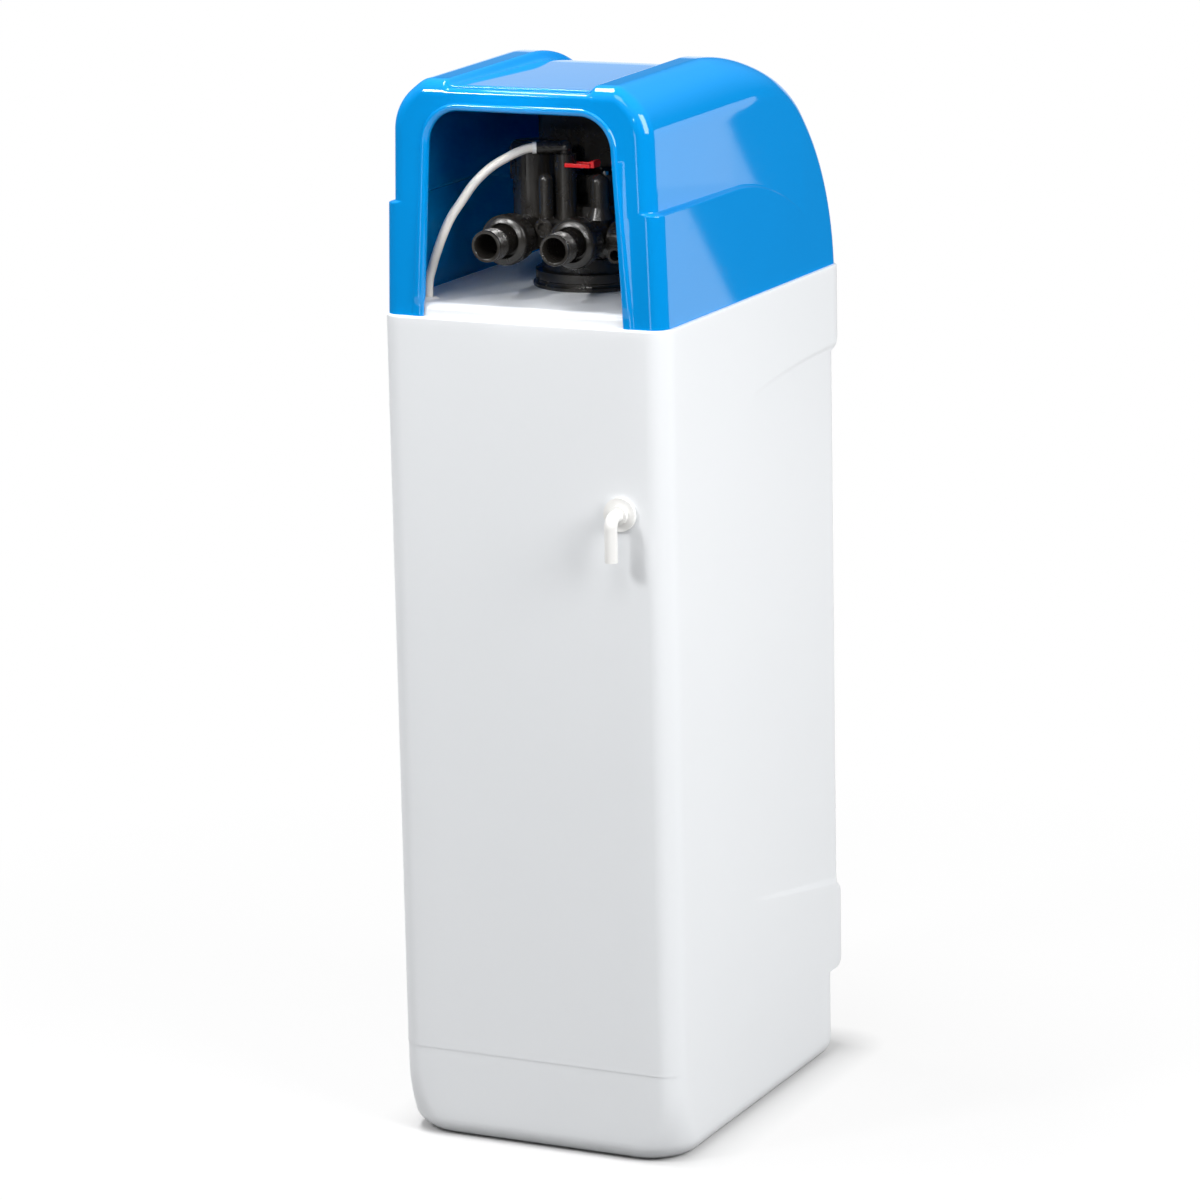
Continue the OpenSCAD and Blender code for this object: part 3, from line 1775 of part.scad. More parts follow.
module float_body() {
  color("white")
    translate([float_xy[0], float_xy[1], float_z])
      difference() {
        union() {
          translate([0, 0, 6])
            cylinder(d = float_d, h = float_h - 12);
          cylinder(d1 = float_d - 12, d2 = float_d, h = 6);
          translate([0, 0, float_h - 6])
            cylinder(d1 = float_d, d2 = float_d - 12, h = 6);
        }
        translate([0, 0, -cut])
          cylinder(d = rod_d + 2 * running_gap, h = float_h + 2 * cut);
      }
}

cabinet_shell();
deck();
hood();
display_window();
tube_grommet();
overflow_elbow();
overflow_nut();
overflow_seal();
pressure_vessel();
vessel_boot();
resin_bed();
riser_tube();
bottom_distributor();
top_distributor();
neck_seal();
valve_body();
fixed_disc();
moving_disc();
disc_shaft();
bonnet();
bonnet_screws();
drive_gear();
pinion();
drive_motor();
motor_screws();
head_base();
head_cover();
power_socket();
control_panel();
display_lens();
control_board();
push_button(0);  // menu_button
push_button(1);  // set_button
push_button(2);  // down_button
push_button(3);  // up_button
injector_cap();
injector_nozzle();
brine_elbow();
tube_collet();
brine_tube();
retaining_clip();
blanking_plug();
nipple(1);  // inlet_nipple
nipple(-1);  // outlet_nipple
union_nut(1);  // inlet_nut
union_nut(-1);  // outlet_nut
port_seals();
flow_turbine();
turbine_cage();
drain_nut();
drain_spigot();
flow_washer();
brine_well();
brine_valve();
float_rod();
float_body();
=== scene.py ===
"""Looks of a cabinet water softener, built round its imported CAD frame.

Metres, +Z up, the pipes at the rear, +Y. CAD nodes whose shape is right keep it and get a finish.
The cabinet, the hood, the brine tube, the clip and the pipe unions are modelled again, with the
soft edges of mouldings.
"""

import json
import math

import bpy
from mathutils import Matrix, Quaternion, Vector


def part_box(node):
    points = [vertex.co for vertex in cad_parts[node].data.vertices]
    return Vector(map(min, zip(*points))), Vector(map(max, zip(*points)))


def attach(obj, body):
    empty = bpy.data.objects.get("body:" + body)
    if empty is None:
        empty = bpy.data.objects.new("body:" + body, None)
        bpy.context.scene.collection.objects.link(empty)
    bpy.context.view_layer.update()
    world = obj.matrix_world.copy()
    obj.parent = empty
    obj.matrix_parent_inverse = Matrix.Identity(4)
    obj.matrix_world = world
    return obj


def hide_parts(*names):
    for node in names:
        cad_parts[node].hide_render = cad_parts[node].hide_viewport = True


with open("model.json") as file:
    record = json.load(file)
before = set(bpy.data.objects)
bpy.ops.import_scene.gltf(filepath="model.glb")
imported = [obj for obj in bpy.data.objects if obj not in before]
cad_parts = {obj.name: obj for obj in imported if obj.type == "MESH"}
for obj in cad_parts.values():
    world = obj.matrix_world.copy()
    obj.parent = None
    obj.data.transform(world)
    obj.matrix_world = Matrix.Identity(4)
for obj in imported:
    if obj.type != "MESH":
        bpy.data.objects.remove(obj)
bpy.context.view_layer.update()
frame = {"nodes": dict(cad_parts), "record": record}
nodes = frame["nodes"]

# Modelling
MERGE_GAP = 0.00002
ON_FLOOR = 0.00001

# Cabinet
WIDTH = 0.325
DEPTH = 0.458
LEDGE = 0.883
CABINET_WALL = 0.0035
CORNER_R = 0.024
CORNER_R_MIN = 0.001
FLOOR_EDGE_R = 0.020
FOOT_TOP = 0.097
FOOT_STEP = 0.036
FOOT_SEAM = 0.0004
FOOT_ROUND_TOP = 0.075
FOOT_ROUND = 0.034
BULGE_TOP = 0.190
BULGE_STEP = 0.005
BULGE_EDGE_R = 0.010
PANEL_STEP = 0.016
COLLAR_FOOT = 0.791
COLLAR_EDGE_R = 0.014
RIM_WIDTH = 0.014
RIM_EDGE_R = 0.0025
SIDE_HOLLOW = 0.003
HOLLOW_EDGE = 0.007
HOLLOW_INSET_MAX = 0.003
SWEEP_R = 1.400
SWEEP_Y = -0.190
SWEEP_END_Y = 0.056
SWEEP_LOW_RISE = 0.050
SWEEP_TOP_RISE = 0.004
# Cells of its skin, with bands of close rows at the hollow's edges
SIDE_CELLS, END_CELLS, CORNER_CELLS = 64, 12, 10
PANEL_CELLS = (5, 10, 46, 10, 6)
PANEL_ROWS = sum(PANEL_CELLS) + 1
PANEL_GAP = 0.0006
BAND_HALF = 0.65 * HOLLOW_EDGE
BAND_GAP = 0.002
BAND_MIN = 0.003

# Hood, with heights above the ledge
HOOD_INSET = 0.004
HOOD_HALF = WIDTH / 2 - HOOD_INSET
HOOD_REAR = DEPTH / 2 - HOOD_INSET
HOOD_HEIGHT = 0.242
HOOD_DRAFT = 0.030
HOOD_WALL = 0.003
SHOULDER_R = 0.052
REAR_EDGE_R = 0.016
DOME_Y = HOOD_HEIGHT - HOOD_REAR
DOME_EDGE_R = 0.017
DOME_EDGE_TURN = 0.75
SIDE_BLEND_X = 0.094
SIDE_BLEND = 0.046
# Sunk strip between the two rails of the top, with a bead at its rear end
STRIP_DEPTH = 0.013
STRIP_FOOT_DEPTH = 0.0005
STRIP_EDGE_IN = 0.0770
STRIP_EDGE_OUT = 0.0845
STRIP_RISE = 0.009
STRIP_RISE_END = 0.50
STRIP_FLAT_IN = 0.013
STRIP_END_IN = 0.0105
STRIP_END_R = 0.002
STRIP_END_ANGLES = (70, 50, 30, 10)
RAIL_RISE = 0.0015
RAIL_SLOPE = 0.019
RAIL_BLEND_FOOT = 0.15
RAIL_BLEND = 0.08
BEAD_R = 0.0056
BEAD_DROP = 0.0085
BEAD_GROOVE = [(-0.0084, -0.0030), (-0.0079, -0.0033)]
BEAD_ANGLES = (108, 98, 88, 78, 68, 58, 48, 38, 28, 18, 9, 0)
STEEPEST_ANGLE = 1.5
# Step along the sides
SWAGE_HEIGHT = 0.1165
SWAGE_DEPTH = 0.0075
SWAGE_EDGE = 0.0036
SWAGE_R = 0.330
SWAGE_TURN_Y = 0.040
SWAGE_END_Y = -0.140
SWAGE_MARGIN = 0.02
SWAGE_SEARCH = (0.03, 0.19)
SWAGE_HALVINGS = 40
# Arch at the rear, and its jamb and raised lip as growth of the outline and distance inside the
# rear face
ARCH_FOOT_HALF = 0.117
ARCH_TOP_HALF = 0.1065
ARCH_HEIGHT = 0.2165
ARCH_R = 0.039
ARCH_LIP = [
    (-0.0036, 0.0056), (-0.0039, 0.0046), (-0.0039, 0.0026), (-0.0034, 0.0010), (-0.0022, -0.0004),
    (-0.0006, -0.0013), (0.0012, -0.0017), (0.0026, -0.0015), (0.0034, -0.0008), (0.0038, -0.0002),
    (0.0048, 0.0),
]
LIP_REACH = 0.004
LIP_WIDE_TOP = 0.17
LIP_WIDENING = 1.2
JAMB_FOOT = 0.0135
JAMB_BLEND = 0.006
JAMB_FOOT_SHARE = 0.5
# Window in the dome's strip
WINDOW_HALF = 0.0484
WINDOW_ANGLES = (38.9, 53.1)
# Cells of its skin: up the wall, round the shoulder, across the top, and rows down the dome
WALL_CELLS = (24, 12, 14)
STEP_BAND = 0.004
SHOULDER_CELLS = 18
RAIL_MARK = 0.093
STRIP_MARK = 0.076
ACROSS_CELLS = (6, 16, 5, 6)
TOP_ROWS = 42
DOME_ROWS = (27, 9, 24)

# Brine tube: distance from the elbow's mouth and height above the ledge, then straight down
TUBE_D = 0.0095
TUBE_WELL = Vector((0.121, 0.196))
CLIP_TOWER = Vector((-0.0045, 0.1254))
ELBOW_REACH = 0.0298
TUBE_FOOT = 0.128
TUBE_ROUTE = [
    (-0.0083, 0.1660), (0.0050, 0.1660), (0.0165, 0.1630), (0.0317, 0.1560), (0.0474, 0.1467),
    (0.0640, 0.1316), (0.0775, 0.1133), (0.0905, 0.0942), (0.1012, 0.0701), (0.1097, 0.0450),
]
TUBE_DECK_HEIGHT = 0.021
TUBE_DROP_CELLS = 10
TUBE_CELLS = 5

# Pipe unions: turned outlines as radius and Y, about the port's axis
PORT_X = 0.0385
PORT_Z = LEDGE + 0.076
NIPPLE_OUTLINE = [
    (0.0120, 0.1725), (0.0198, 0.1725), (0.0198, 0.1788), (0.0146, 0.1794), (0.0146, 0.2024),
    (0.0151, 0.2036), (0.0151, 0.2222), (0.0160, 0.2230), (0.0164, 0.2240), (0.0163, 0.2253),
    (0.0158, 0.2260), (0.0138, 0.2260), (0.0132, 0.2257), (0.0128, 0.2248), (0.0124, 0.2200),
    (0.0120, 0.2150), (0.0120, 0.1725),
]
NIPPLE_STEPS = 72
# Thread, with its widths as shares of the pitch and its run-out in turns
THREAD_START_Y = 0.2050
THREAD_END_Y = 0.2226
THREAD_PITCH = 0.00231
THREAD_ROOT_R = 0.0149
THREAD_CREST_R = 0.0166
THREAD_ROOT_HALF = 0.46
THREAD_CREST_HALF = 0.10
THREAD_RUN_OUT = 0.6
THREAD_LEAST = 0.02
THREAD_STEPS = 40
NUT_OUTLINE = [
    (0.0207, 0.1602), (0.0238, 0.1602), (0.0244, 0.1608), (0.0246, 0.1620), (0.0246, 0.1745),
    (0.0250, 0.1757), (0.0255, 0.1765), (0.0256, 0.1778), (0.0256, 0.1832), (0.0252, 0.1846),
    (0.0243, 0.1858), (0.0226, 0.1869), (0.0200, 0.1880), (0.0188, 0.1884), (0.0182, 0.1882),
    (0.0179, 0.1875), (0.0179, 0.1810), (0.0207, 0.1800), (0.0207, 0.1602),
]
NUT_STEPS = 180
# Ribs on the rim, then on the body: first and last Y, columns to a period and to a rib, height
NUT_RIBS = [(0.1765, 0.1840, 3, 2, 0.0008), (0.1615, 0.1745, 6, 3, 0.0005)]
NUT_RIB_R = 0.0242
UNION_SMOOTHING = 32

# Red clip
CLIP_THICK = 0.004
CLIP_LEG_HIDDEN = 0.005
CLIP_VOXEL = 0.0004
CLIP_PASSES = 8
CLIP_SMOOTHING = 60

# Ring round the vessel's neck, between the deck and the valve's flange: radius and height above
# the ledge
RING_OUTLINE = [
    (0.0505, 0.0136), (0.0618, 0.0136), (0.0626, 0.0142), (0.0628, 0.0152), (0.0626, 0.0172),
    (0.0620, 0.0179), (0.0606, 0.0182), (0.0604, 0.0186), (0.0604, 0.0212), (0.0598, 0.0218),
    (0.0505, 0.0218), (0.0505, 0.0136),
]
RING_STEPS = 128

# Photograph's camera
CAMERA_AT = Vector((-2.262522, 4.727283, 1.778634))
CAMERA_AZIMUTH = math.radians(205.844)
CAMERA_ELEVATION = math.radians(13.25)
CAMERA_ROLL = math.radians(-1.17)
CAMERA_LENS = 151.09
CAMERA_SENSOR = 36

# Studio: pairs are the two ends of a fade
FLOOR_R = 4.0
FLOOR_Z = -0.0005
FLOOR_WHITE = 0.82
FLOOR_WHITE_REACH = (0.35, 1.3)
FLOOR_TONES = (0.24, 0.8)
FLOOR_ROUGHNESS = 0.7
FLOOR_SPECULAR = 0.1
CONTACT_INSET = 0.02
CONTACT_REACH = (0.012, 0.065)
ROOM_LIGHT = (0.06, 0.40)
ROOM_SLOPE = (0.15, 0.65)
BACKDROP_AHEAD = (0.84, 0.90)
BACKDROP_UNDER = (0.095, 0.165)
SPOT_BLEND = 0.8

# Finishes: darker and lighter tone, roughness clean and scuffed, then the grain's strength, the
# grain's scale and the scale of the tone's clouds
FINISH_VALUES = {
    "cabinet_white": ((0.855, 0.878, 0.90), (0.885, 0.903, 0.925), (0.32, 0.42), 0.05, 700, 3),
    "hood_blue": ((0.0, 0.275, 0.72), (0.0, 0.300, 0.78), (0.03, 0.06), 0.01, 500, 4),
    "valve_black": ((0.011, 0.0098, 0.0083), (0.018, 0.016, 0.0138), (0.27, 0.37), 0.2, 1400, 30),
    "tube_ivory": ((0.84, 0.80, 0.74), (0.90, 0.865, 0.81), (0.3, 0.4), 0.05, 900, 20),
    "fitting_white": ((0.87, 0.865, 0.845), (0.91, 0.905, 0.89), (0.3, 0.4), 0.08, 900, 30),
    "clip_red": ((0.78, 0.012, 0.016), (0.86, 0.022, 0.026), (0.25, 0.35), 0.1, 1200, 40),
    "window_smoke": ((0.006, 0.008, 0.011), (0.010, 0.012, 0.016), (0.06, 0.12), 0.01, 900, 8),
    "button_grey": ((0.42, 0.43, 0.44), (0.48, 0.49, 0.50), (0.4, 0.5), 0.2, 1400, 40),
    "seal_rubber": ((0.014, 0.014, 0.014), (0.022, 0.022, 0.022), (0.6, 0.8), 0.3, 1500, 50),
    "vessel_blue": ((0.10, 0.20, 0.33), (0.13, 0.25, 0.40), (0.3, 0.45), 0.3, 260, 12),
    "boot_black": ((0.012, 0.012, 0.013), (0.02, 0.02, 0.021), (0.45, 0.6), 0.3, 900, 20),
    "resin_amber": ((0.40, 0.17, 0.03), (0.62, 0.30, 0.07), (0.35, 0.6), 0.9, 1400, 400),
    "ceramic": ((0.78, 0.77, 0.73), (0.85, 0.84, 0.80), (0.12, 0.2), 0.02, 900, 20),
    "board_green": ((0.01, 0.10, 0.04), (0.02, 0.16, 0.06), (0.3, 0.5), 0.3, 1200, 120),
    "nozzle_orange": ((0.70, 0.20, 0.01), (0.80, 0.26, 0.02), (0.3, 0.4), 0.1, 1200, 40),
    "lens_clear": ((0.10, 0.12, 0.12), (0.15, 0.17, 0.16), (0.04, 0.08), 0.01, 900, 30),
    "steel": ((0.52, 0.52, 0.51), (0.62, 0.62, 0.61), (0.22, 0.36), 0.1, 1600, 90),
    "panel_dark": ((0.020, 0.020, 0.023), (0.030, 0.030, 0.034), (0.35, 0.5), 0.2, 1200, 30),
}
GRAIN_HEIGHT = 0.0002
SCUFF_RANGE = (0.58, 0.75)


# Camera


def add_camera():
    """Camera at the photograph's place, with its small roll."""
    flat = math.cos(CAMERA_ELEVATION)
    back = Vector((
        math.sin(CAMERA_AZIMUTH) * flat,
        -math.cos(CAMERA_AZIMUTH) * flat,
        math.sin(CAMERA_ELEVATION),
    ))
    right = (-back).cross(Vector((0, 0, 1))).normalized()
    up = right.cross(-back)
    cos_roll = math.cos(CAMERA_ROLL)
    sin_roll = math.sin(CAMERA_ROLL)
    turned_right = cos_roll * right + sin_roll * up
    turned_up = cos_roll * up - sin_roll * right
    data = bpy.data.cameras.new("photo_camera")
    data.lens = CAMERA_LENS
    data.sensor_width = CAMERA_SENSOR
    camera = bpy.data.objects.new("photo_camera", data)
    bpy.context.scene.collection.objects.link(camera)
    turn = Matrix((turned_right, turned_up, back)).transposed().to_4x4()
    camera.matrix_world = Matrix.Translation(CAMERA_AT) @ turn
    bpy.context.scene.camera = camera


# Helpers for modelling


def deselect_all():
    """Leaves nothing selected, so that an operator acts only on the piece in hand."""
    bpy.ops.object.select_all(action="DESELECT")


def take(obj):
    """Makes obj the one selected, active piece."""
    deselect_all()
    obj.select_set(True)
    bpy.context.view_layer.objects.active = obj


def apply_modifier(obj, kind, **values):
    """Adds a modifier with these values and applies it."""
    take(obj)
    modifier = obj.modifiers.new(kind.lower(), kind)
    for name, value in values.items():
        setattr(modifier, name, value)
    bpy.ops.object.modifier_apply(modifier=modifier.name)


def merge_and_face_out(obj):
    """Merges doubled points and turns every face outwards."""
    take(obj)
    bpy.ops.object.mode_set(mode="EDIT")
    bpy.ops.mesh.select_all(action="SELECT")
    bpy.ops.mesh.remove_doubles(threshold=MERGE_GAP)
    bpy.ops.mesh.normals_make_consistent(inside=False)
    bpy.ops.object.mode_set(mode="OBJECT")


def smooth(obj, degrees=40):
    """Smooth shading that keeps edges sharper than the angle."""
    take(obj)
    bpy.ops.object.shade_smooth_by_angle(angle=math.radians(degrees))


def edit_faces(obj, wanted):
    """Opens the active piece for editing, with the faces selected that wanted(face) picks."""
    bpy.ops.object.mode_set(mode="EDIT")
    bpy.ops.mesh.select_mode(type="FACE")
    bpy.ops.mesh.select_all(action="DESELECT")
    bpy.ops.object.mode_set(mode="OBJECT")
    for face in obj.data.polygons:
        face.select = wanted(face)
    bpy.ops.object.mode_set(mode="EDIT")


def lay_sheet(name, rows, leave_out=None):
    """Lays a grid over rows of points, then opens the cells that leave_out(row, column) names."""
    deselect_all()
    across = len(rows[0]) - 1
    bpy.ops.mesh.primitive_grid_add(x_subdivisions=across, y_subdivisions=len(rows) - 1, size=1)
    obj = bpy.context.active_object
    obj.name = name
    obj.data.name = name
    places = [c for row in rows for point in row for c in point]
    obj.data.vertices.foreach_set("co", places)
    if leave_out:
        edit_faces(obj, lambda face: leave_out(face.index // across, face.index % across))
        bpy.ops.mesh.delete(type="FACE")
        bpy.ops.object.mode_set(mode="OBJECT")
    return obj


def ease(t):
    """Smooth step from 0 to 1 over t from 0 to 1."""
    t = min(1.0, max(0.0, t))
    return t * t * (3 - 2 * t)


def steps(start, end, count):
    """Evenly spaced values from start to end, both included."""
    return [start + (end - start) * k / count for k in range(count + 1)]


def chain(marks, cells):
    """Values from mark to mark, with a count of even cells between each pair of marks."""
    values = marks[:1]
    for start, end, count in zip(marks, marks[1:], cells):
        values += steps(start, end, count)[1:]
    return values


def rounded_edge(r, start, end, cells):
    """Rise and inset of points along a quarter round, between two angles in degrees."""
    angles = map(math.radians, steps(start, end, cells))
    return [(r * (1 - math.cos(a)), r * (1 - math.sin(a))) for a in angles]


def drawn_in(x, amount):
    """Brings a side at half the width in by amount, blending into edges that are further in."""
    gap = WIDTH / 2 - abs(x)
    return math.copysign(WIDTH / 2 - (max(gap, 0) ** 4 + amount ** 4) ** 0.25, x)


# Cabinet


def cabinet_outline(step, inset, rounder=0.0):
    """Round-cornered outline whose front stands step behind the collar, from the rear right round.

    The rear corners' radius is larger by rounder.
    """
    near = max(CORNER_R - inset, CORNER_R_MIN)
    far = near + rounder
    left = WIDTH / 2 - inset
    rear = DEPTH / 2 - inset
    front = -DEPTH / 2 + step + inset
    corners = [
        (left - far, rear - far, far, 0, SIDE_CELLS),
        (left - near, front + near, near, 270, END_CELLS),
        (near - left, front + near, near, 180, SIDE_CELLS),
        (far - left, rear - far, far, 90, END_CELLS),
    ]
    points = []
    for k, (x, y, r, start, cells) in enumerate(corners):
        angles = map(math.radians, steps(start + 90, start, CORNER_CELLS))
        arc = [(x + r * math.cos(a), y + r * math.sin(a)) for a in angles]
        next_x, next_y, next_r, next_start, _ = corners[(k + 1) % 4]
        begin = math.radians(next_start + 90)
        end = (next_x + next_r * math.cos(begin), next_y + next_r * math.sin(begin))
        last_x, last_y = arc[-1]
        straight = [(last_x + (end[0] - last_x) * t, last_y + (end[1] - last_y) * t)
                    for t in steps(0, 1, cells)]
        points += arc + straight[1:-1]
    return points + points[:1]


def cabinet_stations():
    """Height, front step and inset of each level of the cabinet, from the floor to the rim.

    The tall panel's levels have their row in place of a height, because they follow the side
    hollow's edges.
    """
    foot_round = rounded_edge(FLOOR_EDGE_R, 0, 90, 8)
    bulge_foot = rounded_edge(BULGE_EDGE_R, 0, 90, 8)
    bulge_top = rounded_edge(BULGE_EDGE_R, 90, 0, 8)[1:]
    collar_foot = rounded_edge(COLLAR_EDGE_R, 0, 90, 10)
    rim_round = rounded_edge(RIM_EDGE_R, 0, 90, 5)[1:]
    foot = steps(FLOOR_EDGE_R, FOOT_TOP, 10)[1:]
    bulge = steps(FOOT_TOP + BULGE_EDGE_R, BULGE_TOP - BULGE_EDGE_R, 9)[1:]
    collar = steps(COLLAR_FOOT + COLLAR_EDGE_R, LEDGE - RIM_EDGE_R, 10)[1:]
    levels = [(rise, FOOT_STEP, inset + FOOT_SEAM) for rise, inset in foot_round]
    levels += [(z, FOOT_STEP, FOOT_SEAM) for z in foot]
    levels += [(FOOT_TOP + rise, BULGE_STEP + inset, 0) for rise, inset in bulge_foot]
    levels += [(z, BULGE_STEP, 0) for z in bulge]
    levels += [(BULGE_TOP - rise, BULGE_STEP + inset, 0) for rise, inset in bulge_top]
    levels += [(k, PANEL_STEP, 0) for k in range(PANEL_ROWS)]
    levels += [(COLLAR_FOOT + rise, inset, 0) for rise, inset in collar_foot]
    levels += [(z, 0, 0) for z in collar]
    levels += [(LEDGE - drop, 0, inset) for inset, drop in rim_round]
    return levels + [(LEDGE, 0, RIM_WIDTH)]


def hollow_edges(y):
    """Lower and upper edge of the side hollow, and the share of its depth left, at a place y."""
    fade = max(0.0, (SWEEP_END_Y - y) / (SWEEP_END_Y + DEPTH / 2))
    low = BULGE_TOP + SWEEP_LOW_RISE * (1 - fade)
    sweep = math.sqrt(SWEEP_R ** 2 - (min(y, SWEEP_END_Y) - SWEEP_Y) ** 2)
    top = COLLAR_FOOT + SWEEP_TOP_RISE - SWEEP_R + sweep
    return low, top, fade


def side_hollow(y, z):
    """Depth of the hollow in the cabinet's sides, which fades out towards the rear."""
    low, top, fade = hollow_edges(y)
    under_top = ease((top - z) / HOLLOW_EDGE + 0.5)
    over_low = ease((z - low) / HOLLOW_EDGE + 0.5)
    return SIDE_HOLLOW * fade * under_top * over_low


def panel_heights(y):
    """Heights of the tall panel's rows at a place y, close together at the hollow's edges."""
    low, top, _ = hollow_edges(y)
    low_start = max(low - BAND_HALF, BULGE_TOP + BAND_GAP)
    low_end = max(low + BAND_HALF, low_start + BAND_MIN)
    top_end = min(top + BAND_HALF, COLLAR_FOOT - BAND_GAP)
    top_start = min(top - BAND_HALF, top_end - BAND_MIN)
    first = BULGE_TOP + PANEL_GAP
    last = COLLAR_FOOT - PANEL_GAP
    return chain([first, low_start, low_end, top_start, top_end, last], PANEL_CELLS)


def build_cabinet():
    """Blown cabinet: one skin from the floor to the rim, closed below and given its wall."""
    rows = []
    panel = [panel_heights(y) for _, y in cabinet_outline(PANEL_STEP, 0)]
    for level, step, inset in cabinet_stations():
        row = []
        rounder = 0.0
        if step == FOOT_STEP:
            rounder = FOOT_ROUND * max(0.0, 1 - level / FOOT_ROUND_TOP) ** 2
        for k, (x, y) in enumerate(cabinet_outline(step, inset, rounder)):
            z = panel[k][level] if step == PANEL_STEP and isinstance(level, int) else level
            if inset < HOLLOW_INSET_MAX:
                x = drawn_in(x, side_hollow(y, z))
            row.append((x, y, z))
        rows.append(row)
    obj = lay_sheet("cabinet_skin", rows)
    take(obj)
    bpy.ops.object.mode_set(mode="EDIT")
    bpy.ops.mesh.select_all(action="SELECT")
    bpy.ops.mesh.remove_doubles(threshold=MERGE_GAP)
    bpy.ops.mesh.select_all(action="DESELECT")
    bpy.ops.object.mode_set(mode="OBJECT")
    for edge in obj.data.edges:
        edge.select = all(obj.data.vertices[v].co.z < ON_FLOOR for v in edge.vertices)
    bpy.ops.object.mode_set(mode="EDIT")
    bpy.ops.mesh.select_mode(type="EDGE")
    bpy.ops.mesh.edge_face_add()
    bpy.ops.object.mode_set(mode="OBJECT")
    merge_and_face_out(obj)
    apply_modifier(obj, "SOLIDIFY", thickness=CABINET_WALL, offset=-1)
    smooth(obj)
    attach(obj, "softener")
    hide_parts("cabinet_shell")
    return obj


# Hood


def swage_line(y):
    """Height of the step along the hood's side: level at the rear, then curving down."""
    if y >= SWAGE_TURN_Y:
        return SWAGE_HEIGHT
    curve = math.sqrt(max(SWAGE_R ** 2 - (SWAGE_TURN_Y - y) ** 2, 0))
    return SWAGE_HEIGHT - SWAGE_R + curve


def swage_radius(angle):
    """Distance of the step from the dome's axis, along a ray that leans forward by angle."""
    near, far = SWAGE_SEARCH
    for _ in range(SWAGE_HALVINGS):
        middle = (near + far) / 2
        y = max(DOME_Y - middle * math.sin(angle), SWAGE_END_Y - SWAGE_MARGIN)
        if middle * math.cos(angle) < swage_line(y):
            near = middle
        else:
            far = middle
    return near


def swage_cut(y, above):
    """How far the hood's side is drawn in at a height above its step."""
    fade = (y - SWAGE_END_Y) / (HOOD_REAR - SWAGE_END_Y)
    if fade <= 0:
        return 0.0
    return SWAGE_DEPTH * fade * ease(above / SWAGE_EDGE + 0.5)


def hood_half_section(step_h, shoulder_r):
    """Half the hood's section, foot to middle: x, height, outward x, outward height.

    Rows are kept close together round the step, at the height step_h.
    """
    wall_top = HOOD_HEIGHT - shoulder_r
    turn_x = HOOD_HALF - shoulder_r
    heights = chain([0, step_h - STEP_BAND, step_h + STEP_BAND, wall_top], WALL_CELLS)
    points = [(HOOD_HALF, h, 1, 0) for h in heights]
    for a in map(math.radians, steps(0, 90, SHOULDER_CELLS)[1:]):
        c = math.cos(a)
        s = math.sin(a)
        points.append((turn_x + shoulder_r * c, wall_top + shoulder_r * s, c, s))
    crossings = chain([turn_x, RAIL_MARK, STRIP_MARK, WINDOW_HALF, 0], ACROSS_CELLS)[1:]
    return points + [(x, HOOD_HEIGHT, 0, 1) for x in crossings]


def strip_share(x):
    """How far a point across the top lies in the sunk strip: 0 on the rails, 1 on its floor."""
    return ease((STRIP_EDGE_OUT - abs(x)) / (STRIP_EDGE_OUT - STRIP_EDGE_IN))


def strip_radius(angle):
    """Distance of the strip's floor from the dome's axis, down the dome."""
    floor = HOOD_HEIGHT - STRIP_DEPTH
    shift = STRIP_DEPTH - STRIP_FOOT_DEPTH
    if math.tan(min(angle, STEEPEST_ANGLE)) < shift / floor:
        return floor / math.cos(angle)
    return shift * math.sin(angle) + math.sqrt(floor ** 2 - (shift * math.cos(angle)) ** 2)


def bead_profile():
    """Rear end of the strip, its edge and then the bead, from the rear face and strip's floor."""
    points = [(-REAR_EDGE_R, 0), (-STRIP_FLAT_IN, 0), (-STRIP_END_IN, 0)]
    for a in map(math.radians, STRIP_END_ANGLES):
        points.append((-STRIP_END_IN + STRIP_END_R * math.cos(a),
                       -STRIP_END_R + STRIP_END_R * math.sin(a)))
    points += BEAD_GROOVE
    for a in map(math.radians, BEAD_ANGLES):
        points.append((-BEAD_R + BEAD_R * math.cos(a), -BEAD_DROP + BEAD_R * math.sin(a)))
    return points


BEAD = bead_profile()
REAR_CELLS = len(BEAD) - 1


